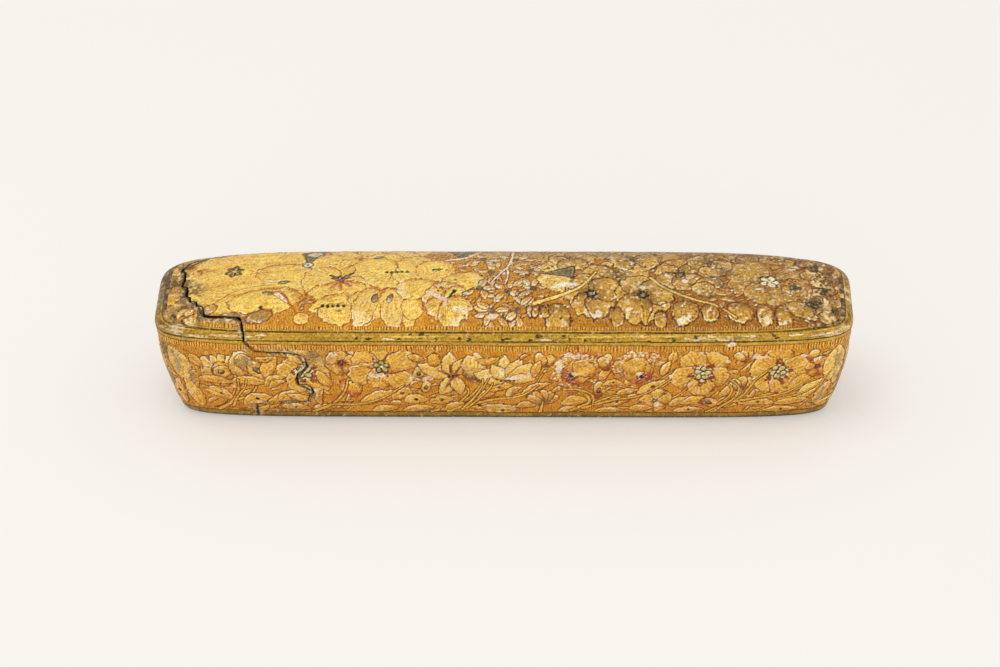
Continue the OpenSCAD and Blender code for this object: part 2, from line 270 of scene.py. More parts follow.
def seam_shifted(shift):
    """The joint line moved sideways, less on the wall, where the joint is almost shut."""
    painted_back_shade = [(180 - a, d) for a, d in SEAM_WALL[:0:-1]]
    line = np.array(SEAM_WALL + SEAM_CREST + painted_back_shade, float)
    angle = line[:, 0]
    on_teeth = (angle > TEETH_ANGLES[0]) & (angle < TEETH_ANGLES[1])
    at_foot = np.abs(angle - 90) > FOOT_ANGLE
    on_top = smooth(0.25, 0.75, np.sin(np.radians(angle)))
    open_share = WALL_OPEN + TEETH_OPEN * on_teeth - FOOT_SHUT * at_foot + TOP_OPEN * on_top
    shift = shift * open_share[:, None]
    scale = np.array([SEAM_RADIUS * math.pi / 180, 1.0])
    flat = line * scale
    ahead = np.roll(flat, -1, axis=0)
    ahead[-1, 0] += 360 * scale[0]
    step = ahead - flat
    normal = np.stack([-step[:, 1], step[:, 0]], axis=1)
    normal /= np.linalg.norm(normal, axis=1)[:, None]
    before = np.roll(normal, 1, axis=0)
    miter = (normal + before) / (1 + np.sum(normal * before, axis=1))[:, None]
    moved = flat + shift * miter
    return np.radians(moved[:, 0] / scale[0]), moved[:, 1] - CASE_L / 2


def head_side(name, shift):
    """Closed solid of everything on the head's side of the joint."""
    angle, x = seam_shifted(shift)
    count = len(angle)
    rings = []
    for radius, at in ((TOOL_INNER, x), (TOOL_OUTER, x), (TOOL_OUTER, np.full(count, -CASE_L))):
        rings.append(np.stack(
            [at, -radius * np.cos(angle), SEAM_AXIS_Z + radius * np.sin(angle)], axis=1))
    tips = np.array([[MOUTH_SETBACK - CASE_L / 2, 0, SEAM_AXIS_Z], [-CASE_L, 0, SEAM_AXIS_Z]])
    points = np.concatenate(rings + [tips])
    faces = []
    for i in range(count):
        k = (i + 1) % count
        faces.append((3 * count, k, i))
        faces.append((i, k, count + k, count + i))
        faces.append((count + i, count + k, 2 * count + k, 2 * count + i))
        faces.append((3 * count + 1, 2 * count + i, 2 * count + k))
    mesh = bpy.data.meshes.new(name)
    mesh.from_pydata((points * MM).tolist(), [], faces)
    return add_object(name, mesh)


def cut(obj, tool, how):
    step = obj.modifiers.new("cut", "BOOLEAN")
    step.object = tool
    step.operation = how
    step.solver = "MANIFOLD"
    graph = bpy.context.evaluated_depsgraph_get()
    mesh = bpy.data.meshes.new_from_object(obj.evaluated_get(graph))
    obj.modifiers.clear()
    old = obj.data
    obj.data = mesh
    bpy.data.meshes.remove(old)


def make_skins():
    """The painted skins of case and head, cut along the joint."""
    case = form_mesh("skin", COLUMNS, ACROSS, WALL_ROWS, 0.0, BAND_PROUD, SKIN_FOOT)
    core = form_mesh("core", *CORE_FINENESS, SKIN_T, 0.0, CORE_FOOT)
    cut(case, core, "DIFFERENCE")
    case.name = "case_lacquer"
    head = add_object("head_lacquer", case.data.copy())
    for obj, shift, how in ((case, SEAM_GAP / 2, "DIFFERENCE"), (head, -SEAM_GAP / 2, "INTERSECT")):
        tool = head_side("tool", shift)
        cut(obj, tool, how)
        bpy.data.objects.remove(tool)
    bpy.data.objects.remove(core)
    return case, head


# Colours are written as screen values from 0 to 255 and turned into linear light

def rgb(red, green, blue):
    screen = np.array([red, green, blue], float) / 255
    return np.where(screen <= 0.04045, screen / 12.92, ((screen + 0.055) / 1.055) ** 2.4)


GOLD = rgb(230, 178, 70)
PALE = rgb(242, 202, 104)
LEMON = rgb(248, 208, 98)
CREAM = rgb(246, 226, 176)
WHITE = rgb(246, 232, 204)
OCHRE = rgb(212, 146, 42)
BROWN = rgb(124, 62, 20)
SIENNA = rgb(170, 88, 22)
DARK_BROWN = rgb(74, 42, 24)
CRIMSON = rgb(134, 32, 40)
RED = rgb(196, 66, 40)
ROSE = rgb(216, 124, 76)
OLIVE = rgb(202, 160, 68)
OLIVE_DARK = rgb(136, 102, 46)
BAND_GOLD = rgb(190, 150, 52)
BAND_LINE = rgb(62, 50, 24)
INK = rgb(30, 26, 26)
GREY = rgb(144, 128, 96)
GREY_DARK = rgb(76, 70, 64)
PURPLE = rgb(96, 48, 52)
GREEN_GREY = rgb(122, 116, 70)


def smooth(low, high, value):
    share = np.clip((value - low) / (high - low), 0, 1)
    return share * share * (3 - 2 * share)


def mix(first, second, share):
    share = np.asarray(share)[..., None]
    return first * (1 - share) + second * share


def grain(u, v, size, seed):
    """Smooth random field between 0 and 1 with blotches of the given size."""
    table = np.random.default_rng(seed).random((GRAIN_CELLS, GRAIN_CELLS))
    x = u / size
    y = v / size
    i = np.floor(x).astype(int)
    j = np.floor(y).astype(int)
    fx = smooth(0, 1, x - i)
    fy = smooth(0, 1, y - j)
    left, right, low, high = (place % GRAIN_CELLS for place in (i, i + 1, j, j + 1))
    near = table[left, low] * (1 - fx) + table[right, low] * fx
    far = table[left, high] * (1 - fx) + table[right, high] * fx
    return near * (1 - fy) + far * fy


class Sheet:
    """Surface points laid flat in millimetres, with the paint and the relief on them."""

    def __init__(self, u, v, ground, light=WALL_LIGHT):
        self.u = u
        self.v = v
        self.colour = np.array(np.broadcast_to(ground, (len(u), 3)))
        self.cover = np.zeros(len(u))
        self.height = np.zeros(len(u))
        self.light = light
        self.all = np.arange(len(u))
        self.order = np.argsort(u)
        self.sorted_u = u[self.order]

    def at(self, found):
        return self.u[found], self.v[found]

    def grain(self, found, size, seed):
        return grain(*self.at(found), size, seed)

    def near(self, u, v, reach):
        low, high = np.searchsorted(self.sorted_u, [u - reach, u + reach])
        found = self.order[low:high]
        return found[np.abs(self.v[found] - v) < reach]

    def coat(self, share, colour, height=None):
        self.lay(self.all, share, colour, height)

    def lay(self, found, share, colour, height=None):
        colour = np.broadcast_to(colour, (len(found), 3))
        self.colour[found] = mix(self.colour[found], colour, share)
        self.cover[found] = self.cover[found] * (1 - share) + share
        if height is not None:
            self.height[found] = self.height[found] * (1 - share) + height * share

    def shade(self, found, share, colour):
        """Tints what is already there without covering the ground's hatching."""
        self.colour[found] = mix(self.colour[found], colour, share)

    def local(self, found, u, v, angle):
        """Places along and across a direction from (u, v)."""
        turn = math.radians(angle)
        du = self.u[found] - u
        dv = self.v[found] - v
        return du * math.cos(turn) + dv * math.sin(turn), dv * math.cos(turn) - du * math.sin(turn)

    def facing(self, angle, ahead, aside):
        """How far the edge on this side of a shape turns to the light, from -1 to 1."""
        turn = math.radians(angle)
        du = ahead * math.cos(turn) - aside * math.sin(turn)
        dv = ahead * math.sin(turn) + aside * math.cos(turn)
        return (du * self.light[0] + dv * self.light[1]) / np.maximum(np.hypot(du, dv), 1e-6)


def step_from(u, v, away, angle):
    """The place at a distance from (u, v), with the angle in degrees."""
    turn = math.radians(angle)
    return u + away * math.cos(turn), v + away * math.sin(turn)


def kept(depth, *fields):
    """The depths that matter, and the other fields of the same points."""
    keep = depth > EDGE_REACH
    return depth[keep], *(field[keep] for field in fields)


def lay_shape(sheet, found, depth, colour, lift, line, line_colour, inner=None, halo=0.9):
    """Lays a raised shape, given each point's depth inside its edge in millimetres."""
    inner = depth if inner is None else inner
    # Painted shadow: the ground just outside the raised edge is darkened towards sienna
    shadow = smooth(-halo, 0.0, depth) * (depth < 0.1)
    sheet.shade(found, 0.45 * min(1.0, halo) * shadow, SIENNA)
    inside = smooth(-0.12, 0.16, depth)
    pillow = lift * (0.45 * smooth(-0.1, 0.4, depth) + 0.55 * smooth(0.0, 2.0, inner))
    sheet.lay(found, inside, colour, pillow)
    stroke = 1 - smooth(0.6 * line, 1.5 * line, np.abs(depth + 0.06))
    uneven = 0.5 + 0.6 * sheet.grain(found, 1.3, 37)
    sheet.lay(found, np.clip(uneven, 0, 0.95) * stroke, line_colour)


def ragged(sheet, found, size):
    """Uneven edge of a shape painted by hand."""
    swing = 0.8 * (sheet.grain(found, 1.7, 101) - 0.5) + 0.5 * (sheet.grain(found, 0.7, 102) - 0.5)
    return min(1.0, size / 6) * swing


def edge_light(colour, u, v, depth, facing, strength):
    """Brown shading on the side away from the light and a pale rim towards it."""
    edge = strength * (1 - smooth(0.1, 1.7, depth))
    colour = mix(colour, SIENNA, edge * np.clip(0.32 - 0.45 * facing, 0, 0.75))
    rim = smooth(0.08, 0.25, depth) * (1 - smooth(0.4, 0.8, depth))
    rim = rim * smooth(0.3, 0.7, grain(u, v, 1.6, 21))
    return mix(colour, WHITE, strength * np.clip(rim * (0.15 + 0.6 * facing), 0, 0.75))


def petal_depth(along, across, length, width, fat, frill, frills):
    """Depth inside the edge of an egg-shaped petal that grows from its narrow end."""
    side = np.where(along < fat * length, fat * length, (1 - fat) * length)
    away = (along - fat * length) / side
    rho = (np.abs(away) ** PETAL_N + np.abs(across / (width / 2)) ** PETAL_N) ** (1 / PETAL_N)
    if frill > 0:
        swing = np.arctan2(across, along + 0.1 * length)
        spread = math.atan2(width / 2, fat * length)
        ripple = np.cos(swing / spread * math.pi * frills / 2)
        rho = rho + frill * ripple * smooth(0.3, 0.8, along / length)
    return (1 - rho) * np.minimum(width / 2, side)


def petal_colour(sheet, found, along, across, depth, facing, length, tint, heart, tip, veins, vein_share,
                 wear, strength=1.0):
    """Painted petal: mottled, with fine strokes fanning out, a tinted heart and a tinted tip."""
    u, v = sheet.at(found)
    share = along / length
    mottle = grain(u + 31, v + 7, 2.6, 3) - 0.5
    fine = grain(u, v, 0.7, 7) - 0.5
    colour = tint * (1 + 0.26 * mottle + 0.36 * fine)[:, None]
    fan = np.arctan2(across, along + 0.12 * length)
    stripe = np.abs(np.cos(fan * veins * 1.8 + 1.6 * mottle)) ** 4
    fade = smooth(0.05, 0.3, share) * (0.2 + 1.2 * grain(u, v, 1.3, 25))
    colour = mix(colour, SIENNA, np.clip(1.5 * vein_share * stripe * fade, 0, 0.8))
    freckle = smooth(0.76, 0.9, grain(u + 5, v, 0.55, 27))
    colour = mix(colour, BROWN, (0.12 + 0.3 * wear) * freckle)
    colour = edge_light(colour, u, v, depth, facing, strength)
    if heart is not None:
        base = 1 - smooth(0.12, 0.5, share + 0.16 * (stripe - 0.5))
        colour = mix(colour, heart, 0.8 * base)
    if tip is not None:
        colour = mix(colour, tip, 0.6 * smooth(0.66, 0.97, share + 0.3 * mottle))
    rubbed = smooth(0.66, 0.82, grain(u, v, 1.1, 11)) * smooth(0.2, 0.8, depth)
    colour = mix(colour, CREAM, wear * rubbed)
    stained = smooth(0.7, 0.86, grain(u + 9, v + 5, 0.9, 19))
    return mix(colour, OLIVE_DARK, 0.9 * wear * stained)


def petal(sheet, u, v, angle, length, width, tint=GOLD, heart=None, tip=None, fat=0.62, lift=0.34,
          veins=13, vein_share=0.3, frill=0.0, frills=7, line=0.18, line_colour=BROWN, wear=0.2, halo=0.8,
          strength=1.0):
    """A single petal that grows from (u, v) along angle."""
    found = sheet.near(u, v, length + width / 2 + 1.5)
    along, across = sheet.local(found, u, v, angle)
    depth = petal_depth(along, across, length, width, fat, frill, frills) + ragged(sheet, found, width)
    depth, found, along, across = kept(depth, found, along, across)
    facing = sheet.facing(angle, along / length - fat, across / width)
    colour = petal_colour(
        sheet, found, along, across, depth, facing, length, tint, heart, tip, veins, vein_share, wear,
        strength)
    lay_shape(sheet, found, depth, colour, lift, line, line_colour, halo=halo)


def chance_at(u, v):
    """A random generator that belongs to a place."""
    return np.random.default_rng(int(abs(u * 13 + v * 7)) + 1)


def flower(sheet, u, v, radius, count=5, turn=0.0, tint=GOLD, heart=None, tip=None, eye="dots", plump=1.08,
           frill=0.04, lift=0.36, wear=0.2, veins=9, vein_share=0.25, line=0.2, line_colour=BROWN):
    """A full-face flower whose petals meet along creases."""
    chance = chance_at(u, v)
    found = sheet.near(u, v, radius * 1.2 + 1.5)
    base_width = 2 * radius * math.sin(math.pi / count) * plump
    best = np.full(len(found), -FAR_DEPTH)
    second = np.full(len(found), -FAR_DEPTH)
    best_along = np.zeros(len(found))
    best_across = np.zeros(len(found))
    tone = np.ones(len(found))
    for i in range(count):
        size = radius * chance.uniform(0.88, 1.08)
        along, across = sheet.local(found, u, v, turn + 360 * i / count + chance.uniform(-7, 7))
        depth = petal_depth(along, across, size, base_width * size / radius, 0.62, frill, 7)
        front = depth > best
        second = np.where(front, best, np.maximum(second, depth))
        best = np.where(front, depth, best)
        best_along = np.where(front, along, best_along)
        best_across = np.where(front, across, best_across)
        tone = np.where(front, chance.uniform(0.93, 1.07), tone)
    best, second, found, along, across, tone = kept(
        best + ragged(sheet, found, radius), second, found, best_along, best_across, tone)
    crease = 0.6 * (best - np.maximum(second, -5.0))
    inner = np.minimum(best, crease)
    facing = sheet.facing(0, sheet.u[found] - u, sheet.v[found] - v)
    colour = petal_colour(
        sheet, found, along, across, inner, facing, radius, tint, heart, tip, veins, vein_share, wear)
    lay_shape(sheet, found, best, colour * tone[:, None], lift, line, line_colour, inner)
    fold = (1 - smooth(0.5 * line, 1.3 * line, crease)) * smooth(0.0, 0.4, best)
    fold = fold * smooth(0.2, 0.4, along / radius)
    sheet.lay(found, 0.75 * fold, line_colour)
    flower_eye(sheet, u, v, radius, count, turn, eye)


def bloom(sheet, u, v, radius, count=5, turn=0.0, tint=GOLD, heart=None, tip=None, eye="dots", **look):
    """A flower of separate round petals that overlap."""
    chance = chance_at(u, v)
    width = 2.1 * radius * math.sin(math.pi / count)
    for i in np.argsort(chance.random(count)):
        size = chance.uniform(0.86, 1.1)
        angle = turn + 360 * i / count + chance.uniform(-9, 9)
        petal(sheet, u, v, angle, radius * size, width * size * chance.uniform(0.88, 1.1),
              tint * chance.uniform(0.92, 1.08), heart, tip, frill=0.07, frills=8, **look)
    flower_eye(sheet, u, v, radius, count, turn, eye)


def flower_eye(sheet, u, v, radius, count, turn, eye):
    """Stamens or heart of a flower."""
    if eye == "dots":
        ring_of_dots(sheet, u, v, 0.16 * radius, count, turn + 180 / count, 0.5, PURPLE)
    if eye == "cross":
        rosette(sheet, u, v, 0.3 * radius, turn=turn + 36)
    if eye == "star":
        ring_of_dots(sheet, u, v, 0.13 * radius, 6, turn, 0.085 * radius, INK)
        ring_of_dots(sheet, u, v, 0.26 * radius, 6, turn + 20, 0.35, GREY_DARK)
        dot(sheet, u, v, 0.07 * radius, GREY)
    if eye == "ring":
        dot(sheet, u, v, 0.36 * radius, GREY_DARK)
        dot(sheet, u, v, 0.14 * radius, INK)


def ring_of_dots(sheet, u, v, away, count, turn, radius, colour):
    for i in range(count):
        dot(sheet, *step_from(u, v, away, turn + 360 * i / count), radius, colour)


def rosette(sheet, u, v, radius, count=5, turn=0.0, tint=GREEN_GREY):
    """A small heart of black-lined lobes."""
    dot(sheet, u, v, 0.75 * radius, INK)
    for i in range(count):
        petal(sheet, u, v, turn + 360 * i / count, 1.2 * radius, 0.85 * radius, tint, lift=0.12, line=0.28,
              line_colour=INK, vein_share=0, wear=0, halo=0.3, strength=0.3)
    dot(sheet, u, v, 0.18 * radius, CREAM)


def leaf(sheet, u, v, angle, length, width, bend=0.0, tint=GOLD, spot=None, lift=0.3, line=0.18,
         line_colour=BROWN, rib=0.6):
    """A pointed leaf from (u, v) along angle, bowed sideways by bend."""
    halo = min(0.9, 0.1 * length)
    found = sheet.near(u, v, length + 2.0)
    along, across = sheet.local(found, u, v, angle)
    along = along / length
    across = across - bend * 4 * along * (1 - along)
    body = np.clip(1 - np.abs(2 * np.clip(along, 0, 1) ** 0.85 - 1) ** 2.2, 0, 1)
    teeth = 0.07 * np.abs(((along * length / 1.6) % 1.0) - 0.5)
    beyond = np.maximum(np.maximum(-along, along - 1), 0) * length
    depth = (width / 2 * (body - teeth) - np.abs(across)) * 0.85 - beyond
    depth, found, along, across = kept(depth + 0.7 * ragged(sheet, found, width), found, along, across)
    u_here, v_here = sheet.at(found)
    mottle = 0.2 * (grain(u_here + 3, v_here + 17, 1.9, 5) - 0.5) + 0.2 * (sheet.grain(found, 0.7, 7) - 0.5)
    colour = tint * (1 + mottle)[:, None]
    facing = sheet.facing(angle, along - 0.5, across / width)
    colour = edge_light(colour, u_here, v_here, depth, facing, 0.75)
    ribbed = 1 - smooth(0.08, 0.26, np.abs(across))
    ribbed = ribbed * smooth(0.02, 0.15, along) * (1 - smooth(0.7, 0.95, along))
    comb = np.abs(np.cos((along * length + 0.9 * np.abs(across)) * math.pi / 1.1)) ** 8
    comb = comb * smooth(0.1, 0.5, depth)
    colour = mix(colour, SIENNA, rib * np.maximum(ribbed, 0.45 * comb))
    rubbed = smooth(0.66, 0.82, sheet.grain(found, 1.2, 13)) * smooth(0.2, 0.7, depth)
    colour = mix(colour, CREAM, 0.35 * rubbed)
    lay_shape(sheet, found, depth, colour, lift, line, line_colour, halo=halo)
    if spot is not None:
        middle = step_from(*step_from(u, v, 0.5 * length, angle), bend, angle + 90)
        dot(sheet, *middle, min(0.72, 0.16 * width), spot)


def dot(sheet, u, v, radius, colour, share=0.95):
    found = sheet.near(u, v, radius * 1.8 + 0.4)
    away = np.hypot(sheet.u[found] - u, sheet.v[found] - v)
    away = away + 0.5 * radius * (sheet.grain(found, 0.9, 17) - 0.5)
    sheet.lay(found, share * (1 - smooth(radius - 0.15, radius + 0.2, away)), colour)


def dot_row(sheet, u, v, count, pitch, radius=0.55, angle=0.0):
    for i in range(count):
        dot(sheet, *step_from(u, v, (i - (count - 1) / 2) * pitch, angle), radius, INK)


def curve(points):
    """Smooth line through the given points."""
    points = np.array(points, float)
    padded = np.concatenate([[2 * points[0] - points[1]], points, [2 * points[-1] - points[-2]]])
    out = []
    for i in range(1, len(padded) - 2):
        a, b, c, d = padded[i - 1:i + 3]
        for t in np.linspace(0, 1, CURVE_STEPS, endpoint=False):
            out.append(0.5 * (2 * b + (c - a) * t + (2 * a - 5 * b + 4 * c - d) * t ** 2
                              + (3 * b - a - 3 * c + d) * t ** 3))
    out.append(points[-1])
    return np.array(out)


def distance_to(sheet, found, path):
    """Distance of points from a line, and how far along it the nearest place is."""
    away = np.full(len(found), FAR_DEPTH)
    along = np.zeros(len(found))
    for i in range(len(path) - 1):
        start = path[i]
        step = path[i + 1] - start
        size = max(step @ step, 1e-9)
        du = sheet.u[found] - start[0]
        dv = sheet.v[found] - start[1]
        t = np.clip((du * step[0] + dv * step[1]) / size, 0, 1)
        gap = np.hypot(du - t * step[0], dv - t * step[1])
        closer = gap < away
        away = np.where(closer, gap, away)
        along = np.where(closer, (i + t) / (len(path) - 1), along)
    return away, along


def near_line(sheet, points, reach):
    """Points near a smooth line, with their distances from it and places along it."""
    path = curve(points)
    middle = path.mean(axis=0)
    found = sheet.near(*middle, np.abs(path - middle).max() + reach)
    return found, *distance_to(sheet, found, path)


def stem(sheet, points, width, tint, lift=0.28, line=0.18):
    """A raised stalk that gets thinner towards its end."""
    found, away, along = near_line(sheet, points, width + 2)
    depth = width / 2 * (1.2 - 0.6 * along) - away + 0.6 * ragged(sheet, found, 2 * width)
    depth, found = kept(depth, found)
    tone = 0.78 + 0.4 * sheet.grain(found, 1.4, 45)
    # Painted shade: the stalk darkens to sienna towards its edges so that it looks round
    colour = mix(SIENNA, tint * tone[:, None], smooth(0.0, 0.3 * width, depth))
    lay_shape(sheet, found, depth, colour, lift, line, BROWN, halo=0.6)


def crack(sheet, points, width, colour, share=0.8):
    """A thin painted or broken line."""
    found, away, _ = near_line(sheet, points, width + 1)
    away = away + 0.5 * width * (sheet.grain(found, 0.8, 43) - 0.5)
    sheet.lay(found, share * (1 - smooth(0.4 * width, 0.8 * width + 0.1, away)), colour)


def blob(sheet, u, v, radius_u, radius_v, colour, angle=0.0, rough=0.6, share=0.9, edge=0.3):
    """An irregular patch, such as a worn place, a stain or a painted highlight."""
    found = sheet.near(u, v, max(radius_u, radius_v) * 1.6 + 0.6)
    along, across = sheet.local(found, u, v, angle)
    wander = sheet.grain(found, 1.6, 23) + 0.6 * sheet.grain(found, 0.6, 24)
    rho = np.hypot(along / radius_u, across / radius_v) + rough * (wander - 0.8)
    tone = colour * (0.8 + 0.4 * sheet.grain(found, 0.7, 25))[:, None]
    sheet.lay(found, share * (1 - smooth(1 - edge, 1 + edge, rho)), tone)


def polygon_patch(sheet, corners, colour, line_colour=INK, line=0.3, share=0.95):
    """A straight-edged patch with its own outline. Corners run anticlockwise."""
    corners = np.array(corners, float)
    middle = corners.mean(axis=0)
    found = sheet.near(*middle, np.abs(corners - middle).max() + 1)
    depth = np.full(len(found), FAR_DEPTH)
    for i in range(len(corners)):
        start = corners[i]
        step = corners[(i + 1) % len(corners)] - start
        side = step[0] * (sheet.v[found] - start[1]) - step[1] * (sheet.u[found] - start[0])
        depth = np.minimum(depth, side / np.hypot(*step))
    tone = colour * (0.4 + 1.1 * sheet.grain(found, 0.7, 29))[:, None]
    depth = depth + 0.5 * ragged(sheet, found, 6)
    sheet.lay(found, share * smooth(-0.15, 0.15, depth), tone)
    sheet.lay(found, 0.9 * (1 - smooth(0.5 * line, 1.3 * line, np.abs(depth))), line_colour)


def bud(sheet, u, v, angle, length, width, tint=GOLD, spot=INK, heart=None):
    """A drop-shaped bud with a dark eye."""
    petal(sheet, u, v, angle, length, width, tint, heart, fat=0.58, veins=6, vein_share=0.15)
    leaf(sheet, *step_from(u, v, 0.27 * length, angle), angle, 0.36 * length, 0.3 * width, tint=GREEN_GREY,
         line_colour=spot, lift=0.1, line=0.26, rib=0)


def cup(sheet, u, v, radius, heart_angle):
    """A rose seen from the side: a speckled collar round a smooth cup with a crimson heart."""
    flower(sheet, u, v, radius, 17, 7, GOLD * 0.95, eye=None, plump=1.4, frill=0.05, lift=0.3, veins=3,
           wear=0.5, line=0.13, line_colour=SIENNA)
    chance = np.random.default_rng(int(abs(u * 7)) + 3)
    for _ in range(110):
        away = radius * chance.uniform(0.6, 0.98)
        angle = chance.uniform(0, 360)
        tone = SIENNA if chance.random() < 0.7 else CREAM
        dot(sheet, *step_from(u, v, away, angle), 0.28, tone, 0.8)
    petal(sheet, *step_from(u, v, -0.62 * radius, heart_angle), heart_angle, 1.25 * radius, 1.1 * radius,
          GOLD, CRIMSON * 1.5, fat=0.5, lift=0.4, veins=12, vein_share=0.2, wear=0.25)
    petal(sheet, *step_from(u, v, -0.1 * radius, heart_angle), heart_angle, 0.72 * radius, 0.95 * radius,
          GOLD * 1.05, fat=0.6, lift=0.25, veins=10, vein_share=0.2, line=0.1, line_colour=SIENNA, halo=0.4)
    eye = step_from(u, v, -0.34 * radius, heart_angle)
    for i in range(9):
        petal(sheet, *eye, heart_angle + 40 * i, radius * chance.uniform(0.14, 0.3), 0.1 * radius, CRIMSON,
              lift=0.1, line=0.08, line_colour=CRIMSON, vein_share=0, wear=0, halo=0.3)
    dot(sheet, *eye, 0.09 * radius, INK)
    blob(sheet, *step_from(*eye, 0.2 * radius, heart_angle), 0.12 * radius, 0.07 * radius, CREAM)


def pansy(sheet, u, v, radius, turn):
    """Five separate petals with crimson strokes round a black-lined heart."""
    chance = np.random.default_rng(int(abs(u * 5)) + 2)
    for i in (0, 1, 4, 2, 3):
        petal(sheet, u, v, turn + 72 * i + chance.uniform(-6, 6), radius * chance.uniform(0.92, 1.1),
              radius * chance.uniform(0.86, 1.0), GOLD, None, PALE, 0.62, 0.4, 11, 0.35, 0.05)
    for i in range(5):
        ray = turn + 72 * i + chance.uniform(-14, 14)
        away = radius * chance.uniform(0.3, 0.38)
        blob(sheet, *step_from(u, v, away, ray), radius * chance.uniform(0.1, 0.22),
             radius * chance.uniform(0.08, 0.15), CRIMSON, ray, 0.8, 0.85)
        for side in (-18, 0, 18):
            ray = turn + 72 * i + side + chance.uniform(-5, 5)
            size = radius * chance.uniform(0.12, 0.34)
            petal(sheet, *step_from(u, v, 0.2 * radius, ray), ray, size, 0.1 * radius, CRIMSON, lift=0.2,
                  line=0.08, line_colour=CRIMSON, vein_share=0, wear=0, halo=0.3)
    dot(sheet, u, v, 0.3 * radius, CREAM, 0.8)
    rosette(sheet, u, v, 0.25 * radius, 4 + int(radius > 9.8), turn + 36, rgb(216, 200, 132))


def fill_leaves(sheet, size, tries, seed, run, rise, tint):
    """Small leaves in the places that are still bare."""
    chance = np.random.default_rng(seed)
    for _ in range(tries):
        u = chance.uniform(*run)
        v = chance.uniform(*rise)
        length = chance.uniform(*size)
        angle = chance.uniform(-25, 75)
        tone = chance.uniform(0.88, 1.08)
        bow = chance.choice([-1.0, 1.0])
        spotted = length > 4 and chance.random() < 0.2
        mid_u, mid_v = step_from(u, v, 0.5 * length, angle)
        found = sheet.near(mid_u, mid_v, 0.36 * length)
        inside = rise[0] + 0.25 * length < mid_v < rise[1] - 0.25 * length
        if not inside or len(found) == 0 or sheet.cover[found].mean() > 0.3:
            continue
        leaf(sheet, u, v, angle, length, 0.36 * length, 0.16 * length * bow, tint * tone,
             PURPLE if spotted else None, 0.26)


# Ways to paint many shapes

def paint(sheet, rows):
    """Paints in the given order. A row is a brush with its values, the named ones in a dict at the end."""
    for brush, *values in rows:
        named = values.pop() if isinstance(values[-1], dict) else {}
        brush(sheet, *values, **named)


def each(sheet, brush, places, *values, **named):
    """One brush at several places, each of which gives the first values."""
    for place in places:
        brush(sheet, *place, *values, **named)


def lines(sheet, brush, paths, *values):
    """One brush along several lines."""
    for path in paths:
        brush(sheet, path, *values)


def fan(sheet, brush, u, v, ways, *values, **named):
    """One brush in several directions from (u, v). A way is an angle, or an angle with sizes."""
    for way in ways:
        brush(sheet, u, v, *np.atleast_1d(way), *values, **named)


# Layout of the wall's flower frieze: run along the wall from the front middle, and height, in millimetres

